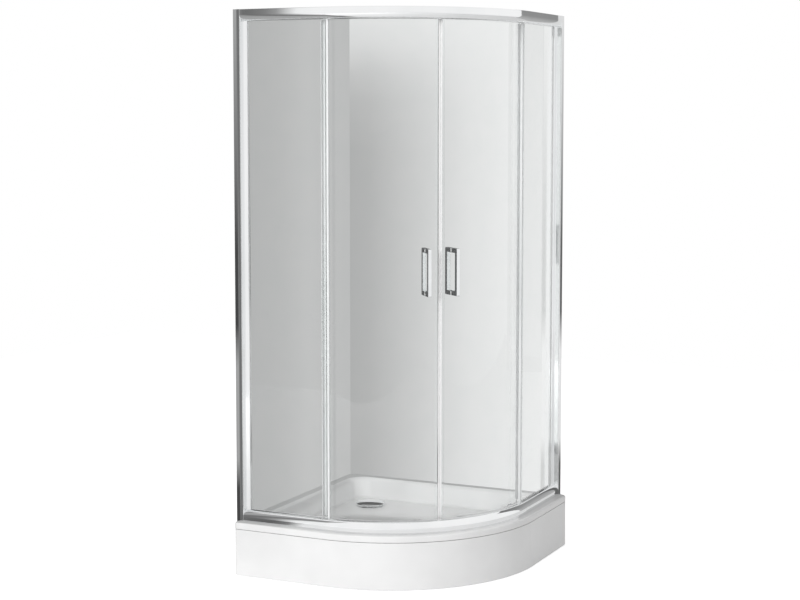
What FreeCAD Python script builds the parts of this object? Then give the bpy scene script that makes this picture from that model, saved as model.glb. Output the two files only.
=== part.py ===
import FreeCAD, Part

# Quadrant shower enclosure on a raised tray: two fixed glass panels and two curved doors that
# roll between a top and a bottom rail. Millimetres, +Z up. The origin is on the floor at the
# middle of the tray. One wall stands at X = -tray_side / 2, the other at Y = tray_side / 2, and
# the curved front faces the corner between -Y and +X.
# The left-hand pieces are drawn, and the right-hand ones mirror them across the plane through
# the wall corner and the meeting line of the doors.

import math
import os
from types import SimpleNamespace

os.makedirs("parts", exist_ok=True)
doc = FreeCAD.newDocument("quadrant_shower_enclosure")

SIZES = {
    # tray
    "tray_side": 900,
    "tray_radius": 550,
    "tray_height": 187,
    "tray_end_radius": 18,
    "rim_lip": 22,
    "rim_edge_radius": 5,
    "shell_wall": 5,
    "rim_front": 88,
    "rim_wall": 40,
    "bowl_depth": 75,
    "bowl_draft": 25,
    "bowl_corner": 70,
    # apron under the rim
    "apron_wall": 4,
    "apron_seam": 2,
    "apron_floor_gap": 1.5,
    "apron_flange": 14,
    "apron_flange_wall": 2,
    "clip_width": 30,
    "clip_depth": 6,
    "clip_height": 16,
    # board, bars and feet under the bowl
    "board_wall": 14,
    "board_rim_wall": 90,
    "board_rim_front": 140,
    "board_corner": 30,
    "bar_width": 30,
    "bar_height": 20,
    "bar_wall": 2,
    "foot_inset": 25,
    "stud_radius": 5,
    "stud_clearance": 0.2,
    "stud_top_gap": 4,
    "pad_radius": 22,
    "pad_height": 18,
    "pad_seat": 8,
    "nut_height": 8,
    "nut_radius": 9,
    # waste
    "drain_offset": 170,
    "drain_hole": 45,
    "cup_radius": 43,
    "cup_wall": 2.5,
    "cup_drop": 92,
    "cup_flange": 58,
    "cup_flange_wall": 6,
    "board_hole": 62,
    "seal_wall": 2.5,
    "spigot_radius": 25,
    "spigot_length": 50,
    "spigot_root": 8,
    "spigot_rise": 28,
    "ring_radius": 55,
    "ring_wall": 2,
    "neck_wall": 2.7,
    "neck_drop": 20,
    "cover_radius": 56,
    "cover_wall": 2,
    "cover_rise": 5,
    "cover_crown": 7,
    "cover_gap": 0.3,
    "cover_stem": 8,
    "spacer_radius": 3,
    "spacer_circle": 47,
    # frame
    "frame_inset": 24,
    "enclosure_top": 1950,
    "post_width": 26,
    "post_depth": 34,
    "post_wall": 2,
    "post_bulge": 1,
    "post_hole": 3.5,
    "post_hole_outer": 1500,
    "post_hole_inner": 500,
    "insert_gap": 0.4,
    "insert_back": 12,
    "insert_wall": 1.5,
    "insert_nose": 42,
    "insert_lip": 3.5,
    "slot_back": 4,
    # rails
    "rail_height": 40,
    "rail_depth": 58,
    "rail_flat": 16,
    "rail_curve": 26,
    "rail_wall": 2,
    "rail_edge": 1.2,
    "pocket_wall": 1.5,
    "pocket_depth": 14,
    "track_depth": 15,
    "rail_hem": 6,
    "end_block_length": 30,
    "stop_far": 123.3,
    "stop_length": 16,
    # glass
    "glass_wall": 6,
    "fixed_glass_depth": 27,
    "fixed_glass_setback": 3,
    "glazing_gap": 1.5,
    "glazing_rest": 2,
    "edge_strip_width": 7,
    "edge_strip_nose": 3,
    "edge_strip_wall": 1.2,
    "door_glass_depth": 50,
    "door_tail": 30,
    "door_edge_gap": 10,
    "meeting_half": 6.5,
    "meeting_gap": 0.15,
    "meeting_leg": 9.5,
    "seal_leg_wall": 1.4,
    "seal_curve_gap": 0.35,
    "rear_fin": 14,
    "rear_fin_wall": 1.5,
    "rear_leg": 8,
    "fin_gap": 1.5,
    # rollers
    "front_roller": 80,
    "rear_roller": 40,
    "roller_drop": 14,
    "roller_radius": 9.5,
    "roller_gap": 0.3,
    "roller_width": 7,
    "roller_dish": 1.75,
    "roller_stand_off": 19,
    "roller_bore_gap": 0.05,
    "axle_radius": 3,
    "axle_cap": 5,
    "axle_cap_wall": 1.2,
    "plate_wall": 3,
    "plate_half_width": 16,
    "plate_top": 6,
    "plate_bottom": 24,
    "boss_radius": 5.5,
    "clamp_drop": 15,
    "clamp_radius": 2.5,
    "clamp_head": 5,
    "clamp_head_wall": 2.2,
    "clamp_disc": 9,
    "clamp_disc_wall": 2,
    "clamp_clearance": 0.05,
    "glass_hole": 5,
    # handles
    "handle_height": 161,
    "handle_middle": 1067,
    "handle_reach": 42,
    "handle_edge": 47,
    "handle_width": 12,
    "handle_bar": 16,
    "handle_corner": 5,
    "handle_edge_radius": 1.5,
    "handle_washer": 1,
    "handle_washer_radius": 7,
    "handle_stud": 3,
    "handle_stud_depth": 10,
    "handle_hole": 4.2,
    "curve_gap": 0.1,
    # screws between wall profile and insert
    "screw_spacing": 640,
    "screw_radius": 2,
    "screw_clearance": 0.2,
    "screw_length": 12,
    "screw_head": 3.8,
    "screw_head_wall": 2.2,
    "cap_radius": 5.5,
    "cap_wall": 1,
}


class Size:
    """A length or an angle that keeps its number and its spreadsheet formula together."""

    def __init__(self, number, formula):
        self.number = number
        self.formula = formula

    def __add__(self, other):
        other = as_size(other)
        return Size(self.number + other.number, f"({self.formula} + {other.formula})")

    def __sub__(self, other):
        other = as_size(other)
        return Size(self.number - other.number, f"({self.formula} - {other.formula})")

    def __mul__(self, other):
        other = as_size(other)
        return Size(self.number * other.number, f"({self.formula} * {other.formula})")

    def __truediv__(self, other):
        other = as_size(other)
        return Size(self.number / other.number, f"({self.formula} / {other.formula})")

    def __neg__(self):
        return Size(-self.number, f"(0 - {self.formula})")

    def __radd__(self, other):
        return as_size(other) + self

    def __rsub__(self, other):
        return as_size(other) - self

    def __rmul__(self, other):
        return as_size(other) * self


def as_size(value):
    return value if isinstance(value, Size) else Size(float(value), repr(float(value)))


def root(size):
    return Size(math.sqrt(size.number), f"sqrt({size.formula})")


def cosine(angle):
    return Size(math.cos(math.radians(angle.number)), f"cos({angle.formula} * 1 deg)")


def sine(angle):
    return Size(math.sin(math.radians(angle.number)), f"sin({angle.formula} * 1 deg)")


def arc_angle(length, radius):
    """Degrees that a length covers on a circle."""
    return length / radius * (180 / math.pi)


def make_sheet():
    sheet = doc.addObject("Spreadsheet::Sheet", "Sizes")
    for row, (name, number) in enumerate(SIZES.items(), start=1):
        sheet.set(f"A{row}", name)
        sheet.set(f"B{row}", str(number))
        sheet.setAlias(f"B{row}", name)
    doc.recompute()
    return SimpleNamespace(**{name: Size(float(sheet.get(name)), f"Sizes.{name}") for name in SIZES})


s = make_sheet()
ZERO = Size(0.0, "0")
FULL_TURN = 360
QUARTER = -90.0
MEETING = -45.0
nodes = []

# Places that several pieces share.
half = s.tray_side / 2
front = -half + s.frame_inset
straight = s.tray_side - s.tray_radius
arc_x = -half + straight
arc_y = half - straight
frame_radius = s.tray_radius - s.frame_inset
fixed_glass_end = straight - s.fixed_glass_setback
door_rear = straight - s.door_tail
rail_gap_low = s.tray_height + s.rail_height
rail_gap_high = s.enclosure_top - s.rail_height
pocket_front = s.fixed_glass_depth - s.glazing_gap
pocket_back = s.fixed_glass_depth + s.glass_wall + s.glazing_gap
pocket_roof = s.rail_height - s.pocket_depth
ledge = s.roller_drop + s.roller_radius + s.roller_gap
door_radius = frame_radius - s.door_glass_depth
rim_under = s.tray_height - s.rim_lip
bowl_floor = s.tray_height - s.bowl_depth
bowl_under = bowl_floor - s.shell_wall
board_under = bowl_under - s.board_wall
bar_under = board_under - s.bar_height
drain_x = -half + s.drain_offset
drain_y = half - s.drain_offset


def left(along, inward):
    """Plan point of the left panel: distance from the wall and depth behind the frame's face."""
    return (-half + along, front + inward)


# ---------------------------------------------------------------- drawing helpers

def plane_of(body, role):
    return next(feature for feature in body.Origin.OriginFeatures if feature.Role == role)


def start_sketch(body, name, role, height):
    sketch = body.newObject("Sketcher::SketchObject", name)
    sketch.AttachmentSupport = (plane_of(body, role), [""])
    sketch.MapMode = "FlatFace"
    sketch.setExpression("AttachmentOffset.Base.z", as_size(height).formula)
    return sketch


def fix(sketch, kind, geometry, point, value):
    """Holds one coordinate of a sketch point at a size."""
    import Sketcher
    index = sketch.addConstraint(Sketcher.Constraint(kind, -1, 1, geometry, point, value.number))
    sketch.renameConstraint(index, f"{kind}_{geometry}_{point}")
    sketch.setExpression(f"Constraints.{kind}_{geometry}_{point}", value.formula)


def add_circle(sketch, x, y, radius):
    import Sketcher
    x, y = as_size(x), as_size(y)
    middle = FreeCAD.Vector(x.number, y.number, 0)
    geometry = sketch.addGeometry(Part.Circle(middle, FreeCAD.Vector(0, 0, 1), radius.number), False)
    fix(sketch, "DistanceX", geometry, 3, x)
    fix(sketch, "DistanceY", geometry, 3, y)
    index = sketch.addConstraint(Sketcher.Constraint("Radius", geometry, radius.number))
    sketch.renameConstraint(index, f"Radius_{geometry}")
    sketch.setExpression(f"Constraints.Radius_{geometry}", radius.formula)


def arc_between(begin, end, middle):
    """The short arc from begin to end about middle, with the sketch's numbers of its two ends."""
    radius = begin.distanceToPoint(middle)
    first = math.atan2(begin.y - middle.y, begin.x - middle.x)
    last = math.atan2(end.y - middle.y, end.x - middle.x)
    turn = (last - first + math.pi) % (2 * math.pi) - math.pi
    circle = Part.Circle(middle, FreeCAD.Vector(0, 0, 1), radius)
    if turn > 0:
        return Part.ArcOfCircle(circle, first, first + turn), 1, 2
    return Part.ArcOfCircle(circle, first + turn, first), 2, 1


def add_outline(sketch, corners, closed=True):
    """Draws lines and arcs through the corners. A corner is (x, y), or (x, y, centre x, centre y)
    where an arc leaves it. The last side of a closed outline is a line."""
    import Sketcher
    corners = [tuple(as_size(value) for value in corner) for corner in corners]
    points = [FreeCAD.Vector(corner[0].number, corner[1].number, 0) for corner in corners]
    count = len(corners)
    sides = []
    for index in range(count if closed else count - 1):
        begin, end = points[index], points[(index + 1) % count]
        if len(corners[index]) == 4:
            middle = FreeCAD.Vector(corners[index][2].number, corners[index][3].number, 0)
            shape, first, last = arc_between(begin, end, middle)
        else:
            shape, first, last = Part.LineSegment(begin, end), 1, 2
        sides.append((sketch.addGeometry(shape, False), first, last))
    for index, (geometry, first, last) in enumerate(sides):
        corner = corners[index]
        before = corners[index - 1] if index or closed else corner
        after_arc = index > 0 and len(before) == 4
        sideways = False
        if after_arc:
            radial = points[index] - FreeCAD.Vector(before[2].number, before[3].number, 0)
            sideways = abs(radial.y) > abs(radial.x)
        if not after_arc or sideways:
            fix(sketch, "DistanceX", geometry, first, corner[0])
        if not after_arc or not sideways:
            fix(sketch, "DistanceY", geometry, first, corner[1])
        if len(corner) == 4:
            fix(sketch, "DistanceX", geometry, 3, corner[2])
            fix(sketch, "DistanceY", geometry, 3, corner[3])
        if index + 1 < len(sides):
            joined, near = sides[index + 1][0], sides[index + 1][1]
            sketch.addConstraint(Sketcher.Constraint("Coincident", geometry, last, joined, near))
    if closed:
        geometry, last = sides[-1][0], sides[-1][2]
        sketch.addConstraint(Sketcher.Constraint("Coincident", geometry, last, sides[0][0], sides[0][1]))
    else:
        fix(sketch, "DistanceX", sides[-1][0], sides[-1][2], corners[-1][0])
        fix(sketch, "DistanceY", sides[-1][0], sides[-1][2], corners[-1][1])


def draw(body, name, role, height, *outlines):
    sketch = start_sketch(body, name, role, height)
    for outline in outlines:
        add_outline(sketch, outline)
    return sketch


def new_body(name):
    body = doc.addObject("PartDesign::Body", name)
    body.Label = name
    return body


def extrude(body, kind, sketch, length, backwards=False, both_ways=False):
    feature = body.newObject(kind, f"{sketch.Name}_{kind.split('::')[1].lower()}")
    feature.Profile = sketch
    feature.setExpression("Length", as_size(length).formula)
    feature.Reversed = backwards
    if both_ways:
        feature.SideType = "Symmetric"
    return feature


def pad(body, sketch, length, both_ways=False):
    return extrude(body, "PartDesign::Pad", sketch, length, False, both_ways)


def pocket(body, sketch, length, backwards=False):
    """Cuts against the sketch plane's normal, or backwards along it."""
    return extrude(body, "PartDesign::Pocket", sketch, length, backwards)


def turn(body, kind, sketch):
    feature = body.newObject(kind, f"{sketch.Name}_{kind.split('::')[1].lower()}")
    feature.Profile = sketch
    feature.ReferenceAxis = (sketch, ["V_Axis"])
    feature.Angle = FULL_TURN
    return feature


def loft(body, kind, lower, upper):
    feature = body.newObject(kind, f"{lower.Name}_loft")
    feature.Profile = lower
    feature.Sections = [upper]
    feature.Ruled = True
    return feature


def round_edges(body, base, radius, wanted):
    """Fillets the edges of a feature whose middle passes the test."""
    doc.recompute()
    names = [f"Edge{index}" for index, edge in enumerate(base.Shape.Edges, start=1)
             if wanted(edge.CenterOfMass, edge)]
    feature = body.newObject("PartDesign::Fillet", f"{base.Name}_fillet")
    feature.Base = (base, names)
    feature.setExpression("Radius", radius.formula)
    return feature


def level_edge(height):
    """Test for edges that lie at one height."""
    return lambda middle, edge: abs(middle.z - height.number) < 1e-4 and edge.BoundBox.ZLength < 1e-4


def box_outline(x_low, y_low, x_high, y_high):
    return [(x_low, y_low), (x_high, y_low), (x_high, y_high), (x_low, y_high)]


def shaft(name, outline):
    """A turned piece: the outline gives radius and height."""
    body = new_body(name)
    turn(body, "PartDesign::Revolution", draw(body, f"{name}_outline", "XZ_Plane", 0, outline))
    return body


def group(name, members):
    """Several solids of one node."""
    compound = doc.addObject("Part::Compound", name)
    compound.Label = name
    compound.Links = members
    return compound


def keep(piece):
    nodes.append(piece)
    return piece


def mirror(piece):
    """The right-hand image of a left-hand piece."""
    mirrored = doc.addObject("Part::Mirroring", piece.Name.replace("_left", "_right"))
    mirrored.Label = mirrored.Name
    mirrored.Source = piece
    mirrored.Normal = FreeCAD.Vector(1, 1, 0)
    return mirrored


def keep_pair(piece):
    """Keeps a left-hand piece and its mirror image as two nodes."""
    keep(piece)
    keep(mirror(piece))


def keep_both_sides(name, members):
    """Keeps small pieces of the left side and their mirror images as one node."""
    left_side = group(f"{name}_left", members)
    keep(group(name, [left_side, mirror(left_side)]))


def facing_out(angle, height):
    """Placement on the door glass: X along the curve, Y up, Z out of the enclosure."""
    turn_angle = math.radians(angle.number)
    outward = FreeCAD.Vector(math.cos(turn_angle), math.sin(turn_angle), 0)
    along = FreeCAD.Vector(-math.sin(turn_angle), math.cos(turn_angle), 0)
    up = FreeCAD.Vector(0, 0, 1)
    centre = FreeCAD.Vector(arc_x.number, arc_y.number, height.number)
    return FreeCAD.Placement(centre + outward * door_radius.number,
                             FreeCAD.Rotation(along, up, outward, "ZXY"))


def upright(angle):
    """Placement on the door glass: X back along the left door, Y out, Z up."""
    turn_angle = math.radians(angle.number)
    outward = FreeCAD.Vector(math.cos(turn_angle), math.sin(turn_angle), 0)
    back = FreeCAD.Vector(math.sin(turn_angle), -math.cos(turn_angle), 0)
    centre = FreeCAD.Vector(arc_x.number, arc_y.number, 0)
    return FreeCAD.Placement(centre + outward * door_radius.number,
                             FreeCAD.Rotation(back, outward, FreeCAD.Vector(0, 0, 1), "ZXY"))


# ---------------------------------------------------------------- tray

def quadrant(wall_inset, front_inset, corner, end):
    """Plan of the tray, drawn in from the walls and from the open sides."""
    wall_x, wall_y = -half + wall_inset, half - wall_inset
    low, high = -half + front_inset, half - front_inset
    return [
        (arc_x, low, arc_x, arc_y),
        (high, arc_y),
        (high, wall_y - end, high - end, wall_y - end),
        (high - end, wall_y),
        (wall_x + corner, wall_y, wall_x + corner, wall_y - corner),
        (wall_x, wall_y - corner),
        (wall_x, low + end, wall_x + end, low + end),
        (wall_x + end, low),
    ]


def apron_band(wall):
    """Plan of a strip along the open sides of the tray, flush with its edge."""
    end = s.tray_end_radius
    return [
        (-half, -half + end, -half + end, -half + end),
        (-half + end, -half),
        (arc_x, -half, arc_x, arc_y),
        (half, arc_y),
        (half, half - end, half - end, half - end),
        (half - end, half),
        (half - end, half - wall, half - end, half - end),
        (half - wall, half - end),
        (half - wall, arc_y, arc_x, arc_y),
        (arc_x, -half + wall),
        (-half + end, -half + wall, -half + end, -half + end),
        (-half + wall, -half + end),
    ]


def bowl_section(body, name, height, depth_share, wall):
    """Plan of the bowl at a height: its rim outline, drawn in by its share of the draft."""
    inset = s.bowl_draft * depth_share - wall
    corner = s.bowl_corner + wall
    outline = quadrant(s.rim_wall + inset, s.rim_front + inset, corner, corner)
    return draw(body, name, "XY_Plane", height, outline)


def tray_shell():
    body = new_body("tray_shell")
    end = s.tray_end_radius
    inner_end = end - s.shell_wall
    rim = draw(body, "rim_outline", "XY_Plane", rim_under, quadrant(0, 0, end, end))
    slab = pad(body, rim, s.rim_lip)
    round_edges(body, slab, s.rim_edge_radius, level_edge(s.tray_height))
    under = draw(body, "rim_hollow", "XY_Plane", rim_under,
                 quadrant(s.shell_wall, s.shell_wall, inner_end, inner_end))
    pocket(body, under, s.rim_lip - s.shell_wall, backwards=True)
    wall = s.shell_wall
    loft(body, "PartDesign::AdditiveLoft",
         bowl_section(body, "bowl_under_low", bowl_under, 1, wall),
         bowl_section(body, "bowl_under_high", s.tray_height - wall / 2, 0, wall))
    loft(body, "PartDesign::SubtractiveLoft",
         bowl_section(body, "bowl_floor", bowl_floor, 1, ZERO),
         bowl_section(body, "bowl_rim", s.tray_height, 0, ZERO))
    drain = start_sketch(body, "drain_outline", "XY_Plane", bowl_floor)
    add_circle(drain, drain_x, drain_y, s.drain_hole)
    pocket(body, drain, s.shell_wall)
    keep(body)


def tray_apron():
    body = new_body("tray_apron")
    top = rim_under - s.apron_seam
    skirt = draw(body, "apron_outline", "XY_Plane", s.apron_floor_gap, apron_band(s.apron_wall))
    pad(body, skirt, top - s.apron_floor_gap)
    for name, height in (("apron_top", top - s.apron_flange_wall), ("apron_foot", s.apron_floor_gap)):
        flange = draw(body, name, "XY_Plane", height, apron_band(s.apron_flange))
        pad(body, flange, s.apron_flange_wall)
    keep(body)


def apron_clips():
    """Clips that stand on the apron's upper flange, behind the lip of the rim."""
    clips = []
    base = rim_under - s.apron_seam
    reach = s.tray_radius - s.shell_wall
    for index, angle in enumerate((-85, -63, -27, -5)):
        body = new_body(f"apron_clip_{index}")
        outline = box_outline(-s.clip_width / 2, -s.clip_depth, s.clip_width / 2, -s.seal_curve_gap)
        pad(body, draw(body, f"clip_outline_{index}", "XY_Plane", 0, outline), s.clip_height)
        direction = math.radians(angle)
        body.Placement = FreeCAD.Placement(
            FreeCAD.Vector(arc_x.number + reach.number * math.cos(direction),
                           arc_y.number + reach.number * math.sin(direction), base.number),
            FreeCAD.Rotation(FreeCAD.Vector(0, 0, 1), angle - 90))
        clips.append(body)
    keep(group("apron_clips", clips))


def base_board():
    body = new_body("base_board")
    outline = quadrant(s.board_rim_wall, s.board_rim_front, s.board_corner, s.board_corner)
    sketch = draw(body, "board_outline", "XY_Plane", board_under, outline)
    add_circle(sketch, drain_x, drain_y, s.board_hole)
    pad(body, sketch, s.board_wall)
    keep(body)


def bar_places():
    """Each bar under the board: its X and the ends of its run in Y."""
    back = half - s.board_rim_wall
    reach = s.tray_radius - s.board_rim_front
    places = []
    for x, y_high in ((-half + s.board_rim_wall + s.bar_width / 2, back),
                      (arc_x + s.bar_width, arc_y),
                      (half - s.board_rim_front - 3 * s.bar_width, back)):
        sideways = x + s.bar_width / 2 - arc_x
        if sideways.number > 0:
            y_low = arc_y - root(reach * reach - sideways * sideways)
        else:
            y_low = arc_y - reach
        places.append((x, y_low, y_high))
    return places


def foot_places():
    places = []
    for x, y_low, y_high in bar_places():
        places.append((x, y_low + s.foot_inset))
        places.append((x, y_high - s.foot_inset))
    return places


def leg_bars():
    """Square tubes with a hole for each foot."""
    bars = []
    for index, (x, y_low, y_high) in enumerate(bar_places()):
        body = new_body(f"leg_bar_{index}")
        wide = s.bar_width / 2
        tube = draw(body, f"bar_tube_{index}", "XZ_Plane", -y_high,
                    box_outline(x - wide, bar_under, x + wide, board_under),
                    box_outline(x - wide + s.bar_wall, bar_under + s.bar_wall,
                                x + wide - s.bar_wall, board_under - s.bar_wall))
        pad(body, tube, y_high - y_low)
        holes = start_sketch(body, f"bar_holes_{index}", "XY_Plane", bar_under)
        for y in (y_low + s.foot_inset, y_high - s.foot_inset):
            add_circle(holes, x, y, s.stud_radius + s.stud_clearance)
        pocket(body, holes, s.bar_wall, backwards=True)
        bars.append(body)
    keep(group("leg_bars", bars))


def at_feet(name, make):
    members = []
    for index, (x, y) in enumerate(foot_places()):
        member = make(f"{name}_{index}")
        member.Placement = FreeCAD.Placement(FreeCAD.Vector(x.number, y.number, 0), FreeCAD.Rotation())
        members.append(member)
    keep(group(name, members))


def foot_stud(name):
    top = board_under - s.bar_wall - s.stud_top_gap
    return shaft(name, box_outline(0, s.pad_seat, s.stud_radius, top))


def foot_pad(name):
    bore = s.stud_radius + s.stud_clearance
    collar = s.pad_radius / 2
    return shaft(name, [(0, 0), (s.pad_radius, 0), (s.pad_radius, s.pad_height / 4),
                        (collar, s.pad_height * 2 / 3), (collar, s.pad_height), (bore, s.pad_height),
                        (bore, s.pad_seat), (0, s.pad_seat)])


def foot_nut(name):
    """A hexagonal nut that locks the stud against the underside of its bar."""
    body = new_body(name)
    side = s.nut_radius
    tall = side * (math.sqrt(3) / 2)
    outline = [(side, 0), (side / 2, tall), (-side / 2, tall), (-side, 0),
               (-side / 2, -tall), (side / 2, -tall)]
    sketch = draw(body, f"{name}_outline", "XY_Plane", bar_under - s.nut_height, outline)
    add_circle(sketch, 0, 0, s.stud_radius + s.stud_clearance)
    pad(body, sketch, s.nut_height)
    return body


# ---------------------------------------------------------------- waste

def at_drain(piece):
    piece.Placement = FreeCAD.Placement(FreeCAD.Vector(drain_x.number, drain_y.number, 0),
                                        FreeCAD.Rotation())
    return keep(piece)


def waste():
    seal_under = bowl_under - s.seal_wall
    flange_under = seal_under - s.cup_flange_wall
    cup_under = bowl_under - s.cup_drop
    inner = s.cup_radius - s.cup_wall
    cup = shaft("waste_body", [(0, cup_under), (s.cup_radius, cup_under), (s.cup_radius, flange_under),
                               (s.cup_flange, flange_under), (s.cup_flange, seal_under), (0, seal_under)])
    axis = cup_under + s.spigot_rise
    reach = s.cup_radius + s.spigot_length
    for name, length, radius in (("spigot", reach, s.spigot_radius),
                                 ("spigot_root", s.cup_radius + s.spigot_root,
                                  s.spigot_radius + s.cup_wall)):
        spigot = start_sketch(cup, f"{name}_outline", "XZ_Plane", -length)
        add_circle(spigot, 0, axis, radius)
        pad(cup, spigot, length)
    hollow = draw(cup, "cup_hollow", "XZ_Plane", 0,
                  box_outline(0, cup_under + s.cup_wall, inner, seal_under))
    turn(cup, "PartDesign::Groove", hollow)
    bore = start_sketch(cup, "spigot_bore", "XZ_Plane", -reach)
    add_circle(bore, 0, axis, s.spigot_radius - s.cup_wall)
    pocket(cup, bore, reach, backwards=True)
    at_drain(cup)

    at_drain(shaft("waste_seal", box_outline(s.drain_hole, seal_under, s.cup_flange, bowl_under)))

    neck = inner - s.cover_gap
    bore_radius = neck - s.neck_wall
    neck_low = bowl_floor - s.neck_drop
    ring_top = bowl_floor + s.ring_wall
    at_drain(shaft("waste_flange", [(bore_radius, neck_low), (neck, neck_low), (neck, bowl_floor),
                                    (s.ring_radius, bowl_floor), (s.ring_radius - s.ring_wall, ring_top),
                                    (bore_radius, ring_top)]))

    rise = ring_top + s.cover_rise
    crown = rise + s.cover_wall + s.cover_crown
    edge = s.cover_radius
    bend = s.cover_crown / 2
    cover = shaft("waste_cover", [
        (0, neck_low), (s.cover_stem, neck_low), (s.cover_stem, crown - s.cover_wall - bend),
        (edge * 0.6, crown - s.cover_wall - bend), (edge - s.cover_wall, rise), (edge, rise),
        (edge, rise + s.cover_wall), (edge * 0.8, crown - bend), (edge * 0.5, crown - bend / 2),
        (0, crown)])
    feet = start_sketch(cover, "spacers", "XY_Plane", ring_top + s.cover_gap)
    for index in range(3):
        angle = Size(index * 120.0, repr(index * 120.0))
        add_circle(feet, s.spacer_circle * cosine(angle), s.spacer_circle * sine(angle), s.spacer_radius)
    pad(cover, feet, s.cover_rise + s.cover_wall)
    at_drain(cover)


# ---------------------------------------------------------------- frame

def wall_profile():
    """Channel screwed to the wall, with a bowed face and four screw holes in its back."""
    body = new_body("wall_profile_left")
    width, depth, wall = s.post_width, s.post_depth, s.post_wall
    bow = (width * width / 4 + s.post_bulge * s.post_bulge) / (2 * s.post_bulge)
    inside = s.post_bulge + wall
    section = [
        left(0, s.post_bulge) + left(width / 2, bow),
        left(width, s.post_bulge),
        left(width, inside),
        left(wall, inside),
        left(wall, depth - wall),
        left(width, depth - wall),
        left(width, depth),
        left(0, depth),
    ]
    sketch = draw(body, "post_section", "XY_Plane", s.tray_height, section)
    pad(body, sketch, s.enclosure_top - s.tray_height)
    middle = (s.tray_height + s.enclosure_top) / 2
    holes = start_sketch(body, "post_holes", "YZ_Plane", -half)
    for spacing in (s.post_hole_outer, s.post_hole_inner):
        for way in (-1, 1):
            add_circle(holes, front + (inside + depth - wall) / 2, middle + spacing / 2 * way, s.post_hole)
    pocket(body, holes, wall, backwards=True)
    screws = start_sketch(body, "post_screw_holes", "XZ_Plane", -front - depth)
    for height in screw_heights():
        add_circle(screws, -half + screw_along(), height, s.screw_radius + s.screw_clearance)
    pocket(body, screws, wall, backwards=True)
    keep_pair(body)


def screw_heights():
    middle = (s.tray_height + s.enclosure_top) / 2
    return [middle - s.screw_spacing, middle, middle + s.screw_spacing]


def screw_along():
    """Distance of the frame screws from the wall: the middle of the insert's tube."""
    return (s.insert_back + s.post_width) / 2


def panel_insert():
    """Profile that slides in the wall channel and grips the rear edge of the fixed glass."""
    body = new_body("panel_frame_left")
    low = s.post_bulge + s.post_wall + s.insert_gap
    high = s.post_depth - s.post_wall - s.insert_gap
    back, nose = s.insert_back, s.insert_nose
    mouth = s.post_width + 1
    floor = mouth + s.slot_back
    lip_front = pocket_front - s.insert_lip
    lip_back = pocket_back + s.insert_lip
    wall = s.insert_wall
    section = [
        left(back, low), left(mouth, low), left(mouth, lip_front), left(nose, lip_front),
        left(nose, pocket_front), left(floor, pocket_front), left(floor, pocket_back),
        left(nose, pocket_back), left(nose, lip_back), left(mouth, lip_back), left(mouth, high),
        left(back, high),
    ]
    hollow = [
        left(back + wall, low + wall), left(s.post_width, low + wall),
        left(s.post_width, high - wall), left(back + wall, high - wall),
    ]
    sketch = draw(body, "insert_section", "XY_Plane", rail_gap_low, section, hollow)
    pad(body, sketch, rail_gap_high - rail_gap_low)
    screws = start_sketch(body, "insert_screw_holes", "XZ_Plane", -front - high)
    for height in screw_heights():
        add_circle(screws, -half + screw_along(), height, s.screw_radius + s.screw_clearance)
    pocket(body, screws, wall, backwards=True)
    keep_pair(body)


def rail_section(face, way):
    """Section of a rail in Y and Z. The face is its outer side, and way points into the doorway."""
    inner_curve = s.rail_curve - s.rail_wall
    edge_drop = s.rail_height - s.rail_flat
    hidden_drop = edge_drop - s.rail_wall
    foot = s.rail_curve - root(s.rail_curve * s.rail_curve - edge_drop * edge_drop)
    inner_foot = s.rail_curve - root(inner_curve * inner_curve - hidden_drop * hidden_drop)
    wall, edge = s.rail_wall, s.rail_edge
    pocket_skin = pocket_front - s.pocket_wall
    back_skin = pocket_back + s.pocket_wall

    def at(inward, down):
        return (front + inward, face + down * way)

    outer = [
        at(edge, 0) + at(edge, edge),
        at(0, edge),
        at(0, s.rail_flat) + at(s.rail_curve, s.rail_flat),
        at(foot, s.rail_height),
        at(pocket_front, s.rail_height),
        at(pocket_front, pocket_roof),
        at(pocket_back, pocket_roof),
        at(pocket_back, s.rail_height),
        at(back_skin, s.rail_height),
        at(back_skin, ledge),
        at(s.track_depth, ledge),
        at(s.track_depth, wall),
        at(s.rail_depth - wall, wall),
        at(s.rail_depth - wall, s.rail_hem),
        at(s.rail_depth, s.rail_hem),
        at(s.rail_depth, 0),
    ]
    chamber = [
        at(wall, s.rail_flat) + at(s.rail_curve, s.rail_flat),
        at(inner_foot, s.rail_height - wall),
        at(pocket_skin, s.rail_height - wall),
        at(pocket_skin, pocket_roof),
        at(s.track_depth - wall, pocket_roof),
        at(s.track_depth - wall, wall),
        at(wall, wall),
    ]
    return outer, chamber


def rail(name, face, way):
    """One extrusion bent along straight, quarter turn, straight, from wall profile to wall profile."""
    body = new_body(name)
    section = draw(body, f"{name}_section", "YZ_Plane", -half + s.post_width, *rail_section(face, way))
    path = start_sketch(body, f"{name}_path", "XY_Plane", face)
    add_outline(path, [
        (-half + s.post_width, front),
        (arc_x, front, arc_x, arc_y),
        (-front, arc_y),
        (-front, half - s.post_width),
    ], closed=False)
    bend = body.newObject("PartDesign::AdditivePipe", f"{name}_bend")
    bend.Profile = section
    bend.Spine = (path, [])
    keep(body)


def rail_faces():
    """The outer face of each rail and the way its section runs."""
    return (("top", s.enclosure_top, -1), ("bottom", s.tray_height, 1))


def channel_blocks(name, along_low, along_high):
    """Blocks in the roller channels of the left stretch of both rails."""
    blocks = []
    for place, face, way in rail_faces():
        body = new_body(f"{name}_{place}")
        inner, outer = face + ledge * way, face + s.rail_wall * way
        low = inner if way < 0 else outer
        x_low, y_low = left(along_low, s.track_depth)
        x_high, y_high = left(along_high, pocket_back + s.pocket_wall)
        sketch = draw(body, f"{name}_{place}_plan", "XY_Plane", low, box_outline(x_low, y_low, x_high, y_high))
        pad(body, sketch, ledge - s.rail_wall)
        blocks.append(body)
    keep_both_sides(name, blocks)


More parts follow.
